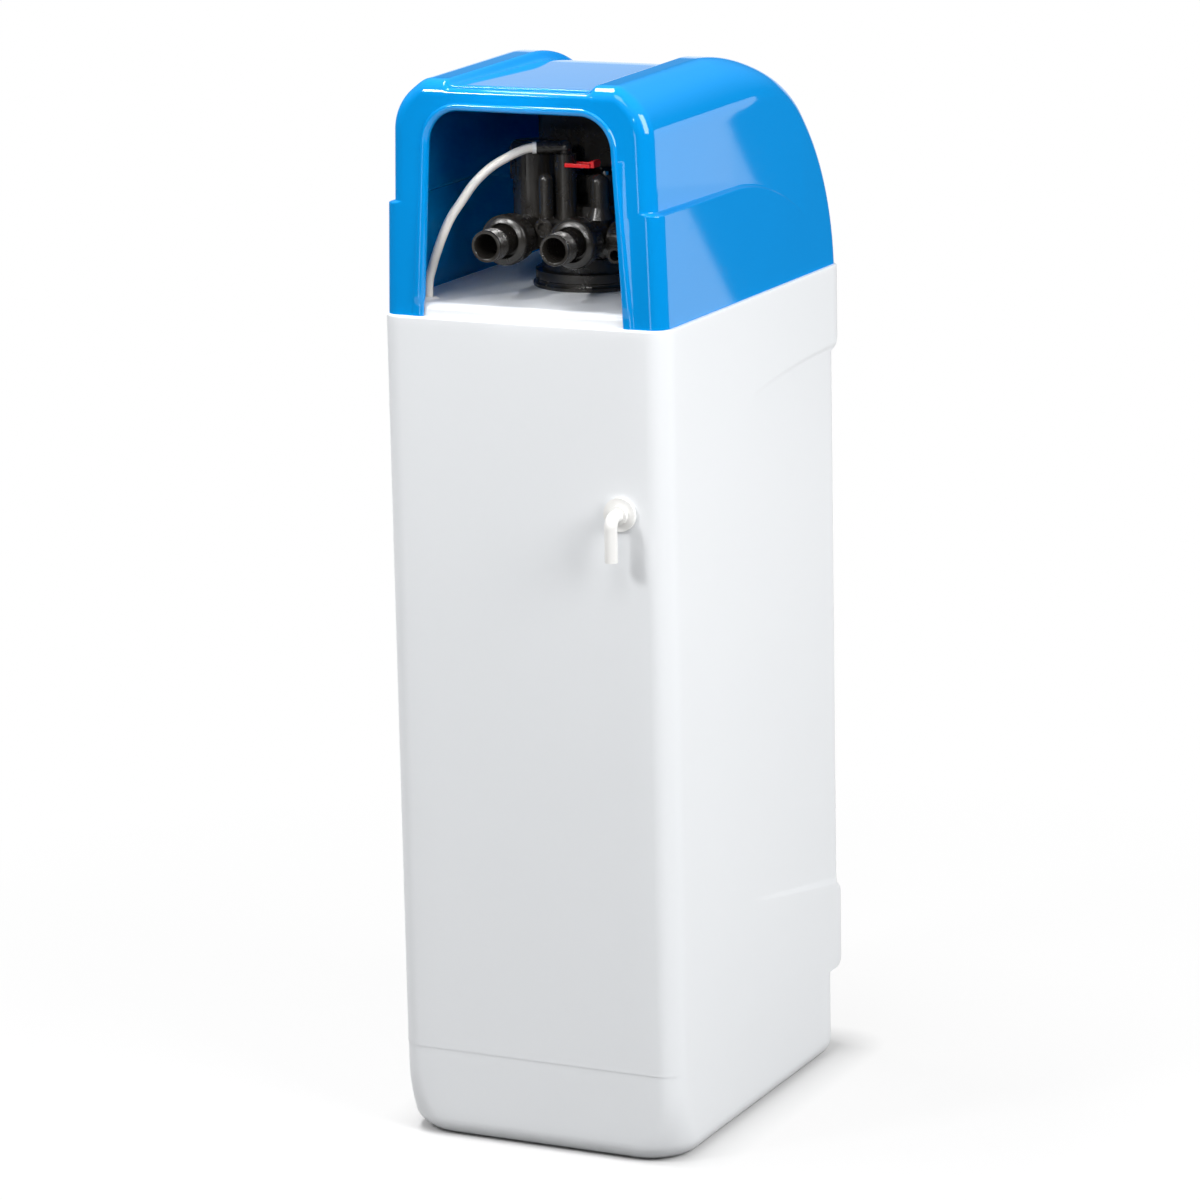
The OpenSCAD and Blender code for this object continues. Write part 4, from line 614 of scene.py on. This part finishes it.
def hood_point(point, part, t):
    """Place of a section point at a station: round the rear edge, along the top or down the dome.

    The station t is an angle for the rear edge and the dome, and a place y for the top.
    """
    x, h, out_x, out_h = point
    share = strip_share(x) if out_x == 0 else 0
    floor = HOOD_HEIGHT - STRIP_DEPTH + STRIP_RISE
    if part == "rear":
        inset = REAR_EDGE_R * (1 - math.cos(t))
        rear_y = HOOD_REAR - REAR_EDGE_R * (1 - math.sin(t))
        place = Vector((x - out_x * inset, rear_y, h - out_h * inset))
        bead = BEAD[round(t / (math.pi / 2) * REAR_CELLS)]
        place = place.lerp(Vector((x, HOOD_REAR + bead[0], floor + bead[1])), share)
        above = place.z - swage_line(place.y)
    elif part == "top":
        place = Vector((x, t, h + (floor - h) * share))
        above = place.z - swage_line(place.y)
    else:
        sunk = strip_radius(t) + STRIP_RISE * (1 - ease(t / STRIP_RISE_END))
        rho = h + (sunk - h) * share
        place = Vector((x, DOME_Y - rho * math.sin(t), rho * math.cos(t)))
        above = h - swage_radius(t)
    cut = swage_cut(place.y, above) + HOOD_DRAFT * max(place.z, 0)
    place.x -= cut * ease((place.x - SIDE_BLEND_X) / SIDE_BLEND)
    rise = RAIL_RISE + RAIL_SLOPE * (HOOD_REAR - REAR_EDGE_R - max(place.y, DOME_Y))
    place.z += max(rise, 0) * ease((place.z - RAIL_BLEND_FOOT) / RAIL_BLEND) * (1 - share)
    return place


def both_sides(points):
    """A half row from one foot to the middle, mirrored to the other foot."""
    return list(points) + [Vector((-p.x, p.y, p.z)) for p in reversed(points[:-1])]


def hood_row(part, t):
    """One half row of points across the hood."""
    if part == "dome":
        step_h = swage_radius(t)
        lean = t / DOME_EDGE_TURN
    else:
        step_h = swage_line(t if part == "top" else HOOD_REAR)
        lean = 0
    shoulder = SHOULDER_R + (DOME_EDGE_R - SHOULDER_R) * ease(lean)
    return [hood_point(point, part, t) for point in hood_half_section(step_h, shoulder)]


def arch_row(grow, inward):
    """Half row along the rear arch: its outline grown by grow, inward of the rear face."""
    r = ARCH_R + min(grow, LIP_REACH)
    middle = Vector((ARCH_TOP_HALF - ARCH_R, ARCH_HEIGHT - ARCH_R))
    foot = Vector((ARCH_FOOT_HALF + min(grow, LIP_REACH), 0))
    to_middle = middle - foot
    leg = math.sqrt(to_middle.length ** 2 - r ** 2)
    heading = math.atan2(to_middle.y, to_middle.x) - math.asin(r / to_middle.length)
    touch = foot + leg * Vector((math.cos(heading), math.sin(heading)))
    start = math.atan2(touch.y - middle.y, touch.x - middle.x)
    section = hood_half_section(SWAGE_HEIGHT, SHOULDER_R)
    wall_cells = sum(WALL_CELLS)
    wall_top = section[wall_cells][1]
    line = [foot.lerp(touch, point[1] / wall_top) for point in section[:wall_cells + 1]]
    line += [middle + r * Vector((math.cos(a), math.sin(a)))
             for a in steps(start, math.pi / 2, SHOULDER_CELLS)[1:]]
    rest = len(section) - len(line)
    line += [Vector((x, middle.y + r)) for x in steps(middle.x, 0, rest)[1:]]
    row = []
    for k, p in enumerate(line):
        # The lip gets wider down the legs, and above the deck's edge the jamb gets its depth
        wider = max(0.0, 1 - p.y / LIP_WIDE_TOP) if k <= wall_cells else 0.0
        rise = ease((p.y - JAMB_FOOT) / JAMB_BLEND)
        depth = inward * (JAMB_FOOT_SHARE + (1 - JAMB_FOOT_SHARE) * rise)
        row.append(Vector((p.x + max(grow, 0) * wider * LIP_WIDENING, HOOD_REAR - depth, p.y)))
    return row


def build_hood():
    """Glossy hood: rear face with its arch, top with its strip, and dome, as one skin."""
    halves = [arch_row(grow, inward) for grow, inward in ARCH_LIP]
    rear = hood_row("rear", math.pi / 2)
    halves.append([a.lerp(b, 0.5) for a, b in zip(halves[-1], rear)])
    halves += [hood_row("rear", t) for t in steps(math.pi / 2, 0, REAR_CELLS)]
    halves += [hood_row("top", y) for y in steps(HOOD_REAR - REAR_EDGE_R, DOME_Y, TOP_ROWS)[1:]]
    floor = HOOD_HEIGHT - STRIP_DEPTH
    shift = STRIP_DEPTH - STRIP_FOOT_DEPTH
    window = [math.atan2(shift + floor * math.sin(a), floor * math.cos(a))
              for a in map(math.radians, WINDOW_ANGLES)]
    first_window_row = len(halves) + DOME_ROWS[0] - 1
    dome = chain([0, *window, math.pi / 2], DOME_ROWS)[1:]
    halves += [hood_row("dome", t) for t in dome]
    rows = [[(p.x, p.y, p.z + LEDGE) for p in both_sides(half)] for half in halves]

    def in_window(row, column):
        if not first_window_row <= row < first_window_row + DOME_ROWS[1]:
            return False
        reach = max(abs(rows[row][column][0]), abs(rows[row][column + 1][0]))
        return reach < WINDOW_HALF + 1e-6

    obj = lay_sheet("hood_skin", rows, in_window)
    merge_and_face_out(obj)
    apply_modifier(obj, "SOLIDIFY", thickness=HOOD_WALL, offset=-1)
    smooth(obj)
    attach(obj, "hood")
    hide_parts("hood")
    return obj


# Brine tube


def tube_line():
    """Centre line of the brine tube, from the elbow's socket down into the brine well."""
    heading = (TUBE_WELL - CLIP_TOWER).normalized()
    mouth = CLIP_TOWER + ELBOW_REACH * heading
    span = (TUBE_WELL - mouth).length
    route = TUBE_ROUTE + [(span, TUBE_DECK_HEIGHT)]
    line = [Vector((*(mouth + s * heading), LEDGE + z)) for s, z in route]
    deck_z = line[-1].z
    drop = deck_z - TUBE_FOOT
    line += [Vector((TUBE_WELL.x, TUBE_WELL.y, deck_z - drop * k / TUBE_DROP_CELLS))
             for k in range(1, TUBE_DROP_CELLS + 1)]
    return line


def smooth_line(knots, cells):
    """Fine points along a smooth curve through the knots."""
    ends = [2 * knots[0] - knots[1]] + knots + [2 * knots[-1] - knots[-2]]
    points = [knots[0]]
    for a, b, c, d in zip(ends, ends[1:], ends[2:], ends[3:]):
        for t in steps(0, 1, cells)[1:]:
            points.append(0.5 * (2 * b + (c - a) * t + (2 * a - 5 * b + 4 * c - d) * t ** 2
                                 + (3 * b - a - 3 * c + d) * t ** 3))
    return points


def build_tube():
    """Brine tube as one smooth curve, with its thickness in the curve's points."""
    line = smooth_line(tube_line(), TUBE_CELLS)
    data = bpy.data.curves.new("brine_line", "CURVE")
    data.dimensions = "3D"
    data.bevel_depth = 1.0
    data.bevel_resolution = 6
    data.use_fill_caps = True
    spline = data.splines.new("POLY")
    spline.points.add(len(line) - 1)
    spline.points.foreach_set("co", [c for p in line for c in (*p, 1)])
    spline.points.foreach_set("radius", [TUBE_D / 2] * len(line))
    spline.use_smooth = True
    obj = bpy.data.objects.new("brine_line", data)
    bpy.context.scene.collection.objects.link(obj)
    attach(obj, "softener")
    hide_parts("brine_tube")
    return obj


# Pipe unions, neck ring and clip


def turn_piece(name, places, centre, axis, turns):
    """Draws an outline by extruding a point along its places, then spins it about an axis."""
    deselect_all()
    bpy.ops.mesh.primitive_plane_add(size=0.002)
    obj = bpy.context.active_object
    obj.name = name
    obj.data.name = name
    bpy.ops.object.mode_set(mode="EDIT")
    bpy.ops.mesh.select_mode(type="VERT")
    bpy.ops.mesh.select_all(action="SELECT")
    bpy.ops.mesh.merge(type="CENTER")
    bpy.ops.transform.translate(value=places[0])
    for start, end in zip(places, places[1:]):
        bpy.ops.mesh.extrude_vertices_move(TRANSFORM_OT_translate={"value": end - start})
    bpy.ops.mesh.select_all(action="SELECT")
    bpy.ops.mesh.spin(steps=turns, angle=2 * math.pi, center=centre, axis=axis)
    bpy.ops.object.mode_set(mode="OBJECT")
    merge_and_face_out(obj)
    return obj


def turn_union(name, outline, x, turns):
    """Turns an outline of radius and Y about a port's axis."""
    places = [Vector((x + radius, y, PORT_Z)) for radius, y in outline]
    return turn_piece(name, places, (x, 0, PORT_Z), (0, 1, 0), turns)


def build_neck_ring():
    """Black ring that stands on the deck round the vessel's neck."""
    low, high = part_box("neck_seal")
    y = (low[1] + high[1]) / 2
    places = [Vector((radius, y, LEDGE + height)) for radius, height in RING_OUTLINE]
    obj = turn_piece("neck_ring", places, (0, y, 0), (0, 0, 1), RING_STEPS)
    smooth(obj, UNION_SMOOTHING)
    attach(obj, "softener")
    return obj


def raise_ribs(obj, x, y_from, y_to, period, width, height):
    """Raises width of every period columns of a turned face by height, to make its ribs."""

    def on_rib(face):
        out = Vector((face.center.x - x, face.center.z - PORT_Z))
        column = int((math.atan2(out.y, out.x) / (2 * math.pi) % 1) * NUT_STEPS)
        outside = y_from < face.center.y < y_to and out.length > NUT_RIB_R
        return outside and column % period < width

    edit_faces(obj, on_rib)
    bpy.ops.mesh.extrude_region_shrink_fatten(TRANSFORM_OT_shrink_fatten={"value": height})
    bpy.ops.object.mode_set(mode="OBJECT")


def build_nut(name, node, body, x):
    """Union nut with a finely ribbed rim and a coned face."""
    obj = turn_union(name, NUT_OUTLINE, x, NUT_STEPS)
    for ribs in NUT_RIBS:
        raise_ribs(obj, x, *ribs)
    smooth(obj, UNION_SMOOTHING)
    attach(obj, body)
    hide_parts(node)
    return obj


def build_nipple(name, node, x):
    """Union tail with its thread, a ridge wound along the tail that runs out at both ends."""
    obj = turn_union(name, NIPPLE_OUTLINE, x, NIPPLE_STEPS)
    turns = (THREAD_END_Y - THREAD_START_Y) / THREAD_PITCH
    rows = []
    for k in range(int(turns * THREAD_STEPS) + 1):
        share = k / (turns * THREAD_STEPS)
        run_out = min(1.0, share * turns / THREAD_RUN_OUT, (1 - share) * turns / THREAD_RUN_OUT)
        crest = THREAD_ROOT_R + (THREAD_CREST_R - THREAD_ROOT_R) * max(run_out, THREAD_LEAST)
        angle = 2 * math.pi * k / THREAD_STEPS
        middle = THREAD_START_Y + (THREAD_END_Y - THREAD_START_Y) * share
        ridge = [
            (THREAD_ROOT_R, -THREAD_ROOT_HALF), (crest, -THREAD_CREST_HALF),
            (crest, THREAD_CREST_HALF), (THREAD_ROOT_R, THREAD_ROOT_HALF),
        ]
        rows.append([
            (x + r * math.cos(angle), middle + along * THREAD_PITCH, PORT_Z + r * math.sin(angle))
            for r, along in ridge
        ])
    thread = lay_sheet(name + "_thread", rows)
    merge_and_face_out(thread)
    take(obj)
    thread.select_set(True)
    bpy.ops.object.join()
    smooth(obj, UNION_SMOOTHING)
    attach(obj, "softener")
    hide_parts(node)
    return obj


def build_clip():
    """Moulded red clip: two legs on a bar with a finger hook, run together and rounded."""
    low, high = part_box("retaining_clip")
    thick = CLIP_THICK
    bar = low[0] + thick
    top = low[2] + thick
    leg_end = high[0] - CLIP_LEG_HIDDEN
    bars = [
        ((bar, low[1], low[2]), (leg_end, low[1] + thick, top)),
        ((bar, high[1] - thick, low[2]), (leg_end, high[1], top)),
        ((bar, low[1], low[2]), (bar + 1.25 * thick, high[1], top)),
        ((low[0], low[1] + thick / 2, low[2]), (bar + thick / 4, high[1] - thick / 2, high[2])),
    ]
    pieces = []
    for corner, far in bars:
        deselect_all()
        bpy.ops.mesh.primitive_cube_add(size=1)
        pieces.append(bpy.context.active_object)
        bpy.ops.object.mode_set(mode="EDIT")
        bpy.ops.transform.resize(value=[b - a for a, b in zip(corner, far)])
        bpy.ops.transform.translate(value=[(a + b) / 2 for a, b in zip(corner, far)])
        bpy.ops.object.mode_set(mode="OBJECT")
    obj = pieces[0]
    take(obj)
    for piece in pieces:
        piece.select_set(True)
    bpy.ops.object.join()
    obj.name = "clip_bar"
    obj.data.name = "clip_bar"
    apply_modifier(obj, "REMESH", mode="VOXEL", voxel_size=CLIP_VOXEL)
    apply_modifier(obj, "SMOOTH", factor=0.5, iterations=CLIP_PASSES)
    smooth(obj, CLIP_SMOOTHING)
    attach(obj, "clip")
    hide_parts("retaining_clip")
    return obj


# Finishes


def new_group(name, inputs, outputs):
    """Empty shader node group with a vector input, and named value inputs and outputs."""
    group = bpy.data.node_groups.new(name, "ShaderNodeTree")
    new_socket = group.interface.new_socket
    new_socket("Vector", in_out="INPUT", socket_type="NodeSocketVector")
    for label, value in inputs:
        socket = new_socket(label, in_out="INPUT", socket_type="NodeSocketFloat")
        socket.default_value = value
    for label in outputs:
        new_socket(label, in_out="OUTPUT", socket_type="NodeSocketFloat")
    enter = group.nodes.new("NodeGroupInput")
    leave = group.nodes.new("NodeGroupOutput")
    return group, enter, leave


def moulded_skin_group():
    """Surface of moulded plastic: fine grain, slow clouds of tone, and sparse scuffs."""
    group, enter, leave = new_group(
        "moulded_skin",
        [("Grain Scale", 900.0), ("Cloud Scale", 6.0), ("Scuff Scale", 40.0)],
        ["Grain", "Cloud", "Scuff"],
    )
    link = group.links.new
    grain = group.nodes.new("ShaderNodeTexNoise")
    grain.inputs["Detail"].default_value = 3.0
    grain.inputs["Roughness"].default_value = 0.6
    link(enter.outputs["Vector"], grain.inputs["Vector"])
    link(enter.outputs["Grain Scale"], grain.inputs["Scale"])
    link(grain.outputs["Fac"], leave.inputs["Grain"])
    cloud = group.nodes.new("ShaderNodeTexNoise")
    cloud.inputs["Detail"].default_value = 2.0
    link(enter.outputs["Vector"], cloud.inputs["Vector"])
    link(enter.outputs["Cloud Scale"], cloud.inputs["Scale"])
    link(cloud.outputs["Fac"], leave.inputs["Cloud"])
    scuff = group.nodes.new("ShaderNodeTexNoise")
    scuff.inputs["Detail"].default_value = 6.0
    scuff.inputs["Distortion"].default_value = 1.5
    link(enter.outputs["Vector"], scuff.inputs["Vector"])
    link(enter.outputs["Scuff Scale"], scuff.inputs["Scale"])
    rare = group.nodes.new("ShaderNodeMapRange")
    rare.inputs["From Min"].default_value = SCUFF_RANGE[0]
    rare.inputs["From Max"].default_value = SCUFF_RANGE[1]
    link(scuff.outputs["Fac"], rare.inputs["Value"])
    link(rare.outputs["Result"], leave.inputs["Scuff"])


def moulded_plastic(name, dark, light, rough, grain, grain_scale, cloud_scale):
    """Plastic whose tone drifts between two colours, with scuffs in its gloss and a fine grain."""
    material = bpy.data.materials.new(name)
    material.use_nodes = True
    tree = material.node_tree
    link = tree.links.new
    shader = tree.nodes["Principled BSDF"]
    place = tree.nodes.new("ShaderNodeTexCoord")
    skin = tree.nodes.new("ShaderNodeGroup")
    skin.node_tree = bpy.data.node_groups["moulded_skin"]
    skin.inputs["Grain Scale"].default_value = grain_scale
    skin.inputs["Cloud Scale"].default_value = cloud_scale
    link(place.outputs["Object"], skin.inputs["Vector"])
    tone = tree.nodes.new("ShaderNodeMix")
    tone.data_type = "RGBA"
    tone.inputs["A"].default_value = (*dark, 1)
    tone.inputs["B"].default_value = (*light, 1)
    link(skin.outputs["Cloud"], tone.inputs["Factor"])
    link(tone.outputs["Result"], shader.inputs["Base Color"])
    gloss = tree.nodes.new("ShaderNodeMapRange")
    gloss.inputs["To Min"].default_value = rough[0]
    gloss.inputs["To Max"].default_value = rough[1]
    link(skin.outputs["Scuff"], gloss.inputs["Value"])
    link(gloss.outputs["Result"], shader.inputs["Roughness"])
    bump = tree.nodes.new("ShaderNodeBump")
    bump.inputs["Strength"].default_value = grain
    bump.inputs["Distance"].default_value = GRAIN_HEIGHT
    link(skin.outputs["Grain"], bump.inputs["Height"])
    link(bump.outputs["Normal"], shader.inputs["Normal"])
    return material


def dress(obj, material):
    """Gives a piece one material all over."""
    obj.data.materials.clear()
    obj.data.materials.append(material)


# Studio


def hang_lamp(data, place, target, roll=0):
    """Puts a lamp at a place, looking at a point and turned by roll about that line."""
    lamp = bpy.data.objects.new(data.name, data)
    bpy.context.scene.collection.objects.link(lamp)
    lamp.location = place
    lamp.rotation_mode = "QUATERNION"
    facing = (Vector(target) - Vector(place)).to_track_quat("-Z", "Y")
    lamp.rotation_quaternion = facing @ Quaternion((0, 0, 1), math.radians(roll))


def add_light(name, place, target, size, power, roll=0):
    """Softbox of a width and height that looks at a point."""
    data = bpy.data.lights.new(name, "AREA")
    data.shape = "RECTANGLE"
    data.size, data.size_y = size
    data.energy = power
    hang_lamp(data, place, target, roll)


def add_spot(name, place, target, cone, radius, power):
    """Small lamp of a radius that looks at a point, for light inside the arch."""
    data = bpy.data.lights.new(name, "SPOT")
    data.spot_size = math.radians(cone)
    data.spot_blend = SPOT_BLEND
    data.shadow_soft_size = radius
    data.energy = power
    hang_lamp(data, place, target)


def combine(tree, operation, first, second):
    """Math node of two values."""
    node = tree.nodes.new("ShaderNodeMath")
    node.operation = operation
    tree.links.new(first, node.inputs[0])
    tree.links.new(second, node.inputs[1])
    return node.outputs["Value"]


def ramp(tree, value, low, high):
    """Map Range node that takes value from one pair of numbers to another."""
    node = tree.nodes.new("ShaderNodeMapRange")
    node.inputs["From Min"].default_value, node.inputs["To Min"].default_value = low
    node.inputs["From Max"].default_value, node.inputs["To Max"].default_value = high
    tree.links.new(value, node.inputs["Value"])
    return node.outputs["Result"]


def backdrop_share(tree, in_gloss=None):
    """Share of white that a ray sees: all for the camera and through glass.

    A glossy ray sees the share in_gloss, or all where there is none.
    """
    path = tree.nodes.new("ShaderNodeLightPath")
    gloss = path.outputs["Is Glossy Ray"]
    if in_gloss:
        gloss = combine(tree, "MULTIPLY", gloss, in_gloss)
    through = path.outputs["Is Transmission Ray"]
    seen = combine(tree, "MAXIMUM", path.outputs["Is Camera Ray"], through)
    return combine(tree, "MAXIMUM", seen, gloss)


def add_surround():
    """White backdrop, in a dim room with a bright ceiling that lights the object."""
    world = bpy.data.worlds.new("studio")
    bpy.context.scene.world = world
    world.use_nodes = True
    tree = world.node_tree
    link = tree.links.new
    room = tree.nodes["Background"]
    way = tree.nodes.new("ShaderNodeTexCoord")
    parts = tree.nodes.new("ShaderNodeSeparateXYZ")
    link(way.outputs["Generated"], parts.inputs["Vector"])
    height = parts.outputs["Z"]
    room.inputs["Color"].default_value = (1, 1, 1, 1)
    ceiling = ramp(tree, height, (ROOM_SLOPE[0], ROOM_LIGHT[0]), (ROOM_SLOPE[1], ROOM_LIGHT[1]))
    link(ceiling, room.inputs["Strength"])
    # Gloss shows the backdrop low down on the photograph's far side
    ahead = tree.nodes.new("ShaderNodeVectorMath")
    ahead.operation = "DOT_PRODUCT"
    ahead.inputs[1].default_value = (-math.sin(CAMERA_AZIMUTH), math.cos(CAMERA_AZIMUTH), 0)
    link(way.outputs["Generated"], ahead.inputs[0])
    across = ramp(tree, ahead.outputs["Value"], (BACKDROP_AHEAD[0], 0.0), (BACKDROP_AHEAD[1], 1.0))
    under = ramp(tree, height, (BACKDROP_UNDER[0], 1.0), (BACKDROP_UNDER[1], 0.0))
    white = tree.nodes.new("ShaderNodeBackground")
    white.inputs["Color"].default_value = (1, 1, 1, 1)
    mixed = tree.nodes.new("ShaderNodeMixShader")
    link(backdrop_share(tree, combine(tree, "MULTIPLY", across, under)), mixed.inputs["Fac"])
    link(room.outputs["Background"], mixed.inputs[1])
    link(white.outputs["Background"], mixed.inputs[2])
    link(mixed.outputs["Shader"], tree.nodes["World Output"].inputs["Surface"])


def add_floor():
    """Round pale floor that keeps the shadow and runs out into the white backdrop."""
    deselect_all()
    bpy.ops.mesh.primitive_circle_add(vertices=96, radius=FLOOR_R, fill_type="NGON",
                                      location=(0, 0, FLOOR_Z))
    floor = bpy.context.active_object
    floor.name = "studio_floor"
    material = bpy.data.materials.new("studio_floor")
    material.use_nodes = True
    tree = material.node_tree
    link = tree.links.new
    paper = tree.nodes["Principled BSDF"]
    tone = tree.nodes.new("ShaderNodeMix")
    tone.data_type = "RGBA"
    for socket, grey in zip("AB", FLOOR_TONES):
        tone.inputs[socket].default_value = (grey, grey, grey, 1)
    link(backdrop_share(tree), tone.inputs["Factor"])
    link(tone.outputs["Result"], paper.inputs["Base Color"])
    paper.inputs["Roughness"].default_value = FLOOR_ROUGHNESS
    paper.inputs["Specular IOR Level"].default_value = FLOOR_SPECULAR
    place = tree.nodes.new("ShaderNodeTexCoord")
    reach = tree.nodes.new("ShaderNodeVectorMath")
    reach.operation = "LENGTH"
    link(place.outputs["Object"], reach.inputs[0])
    fade = ramp(tree, reach.outputs["Value"],
                (FLOOR_WHITE_REACH[0], FLOOR_WHITE), (FLOOR_WHITE_REACH[1], 1.0))
    # Distance from the cabinet's outline, where the shadow is darkest
    apart = place.outputs["Object"]
    half = (WIDTH / 2 - CONTACT_INSET, DEPTH / 2 - CONTACT_INSET, 0)
    for operation, value in (("ABSOLUTE", None), ("SUBTRACT", half), ("MAXIMUM", (0, 0, 0)),
                             ("LENGTH", None)):
        node = tree.nodes.new("ShaderNodeVectorMath")
        node.operation = operation
        if value:
            node.inputs[1].default_value = value
        link(apart, node.inputs[0])
        apart = node.outputs["Value" if operation == "LENGTH" else "Vector"]
    contact = ramp(tree, apart, (CONTACT_REACH[0], 0.0), (CONTACT_REACH[1], 1.0))
    share = combine(tree, "MULTIPLY", backdrop_share(tree), fade)
    share = combine(tree, "MULTIPLY", share, contact)
    white = tree.nodes.new("ShaderNodeEmission")
    white.inputs["Color"].default_value = (1, 1, 1, 1)
    mixed = tree.nodes.new("ShaderNodeMixShader")
    link(share, mixed.inputs["Fac"])
    link(paper.outputs["BSDF"], mixed.inputs[1])
    link(white.outputs["Emission"], mixed.inputs[2])
    link(mixed.outputs["Shader"], tree.nodes["Material Output"].inputs["Surface"])
    dress(floor, material)


def set_studio():
    """Studio of the photograph: soft boxes, small lamps for the arch, and cards for the gloss."""
    bpy.context.scene.view_settings.view_transform = "Standard"
    add_surround()
    add_floor()
    add_light("back_box", (-0.4, 2.3, 3.5), (0, 0.1, 0.8), (1.6, 1.15), 21)
    add_light("right_box", (-2.9, 0.9, 2.2), (0, 0, 0.7), (1.8, 1.8), 100)
    add_light("left_box", (1.2, 1.95, 2.1), (0, 0.1, 0.8), (0.40, 0.45), 26)
    add_light("top_box", (0.9, 0.15, 3.6), (0, 0.0, 1.1), (1.5, 0.6), 64)
    # Light inside the arch
    add_spot("valve_spot", (-0.55, 2.5, 1.60), (0.005, 0.15, 0.995), 5.0, 0.07, 110)
    add_spot("deck_spot", (0.30, 1.9, 2.4), (-0.01, 0.09, 0.90), 4.6, 0.04, 120)
    add_light("low_card", (0.55, 3.4, 0.40), (0, 0.13, 0.97), (0.55, 0.8), 3.6)
    # Cards whose reflection is the pale field with sharp edges on the hood's side
    add_light("upper_card", (-2.16, -3.0, 0.90), (-2.16, 0, 0.90), (0.9, 0.68), 2.4, 3)
    add_light("lower_card", (-1.965, -3.0, 0.296), (-1.965, 0, 0.296), (0.8, 0.5), 1.3, 24)


add_camera()
tube = build_tube()
set_studio()
cabinet = build_cabinet()
hood = build_hood()
black_pieces = [
    build_nut("inlet_union_nut", "inlet_nut", "inlet_union", PORT_X),
    build_nut("outlet_union_nut", "outlet_nut", "outlet_union", -PORT_X),
    build_nipple("inlet_tail", "inlet_nipple", PORT_X),
    build_nipple("outlet_tail", "outlet_nipple", -PORT_X),
    build_neck_ring(),
]
clip = build_clip()

moulded_skin_group()
finishes = {name: moulded_plastic(name, *values) for name, values in FINISH_VALUES.items()}
finishes["deck_white"] = finishes["cabinet_white"]
steel = finishes["steel"].node_tree.nodes["Principled BSDF"]
steel.inputs["Metallic"].default_value = 1.0
for entry in frame["record"]["subparts"]:
    dress(nodes[entry["node"]], finishes[entry["material_slot"]])
dress(nodes["tube_grommet"], finishes["fitting_white"])
dress(cabinet, finishes["cabinet_white"])
dress(hood, finishes["hood_blue"])
dress(tube, finishes["tube_ivory"])
for piece in black_pieces:
    dress(piece, finishes["valve_black"])
dress(clip, finishes["clip_red"])
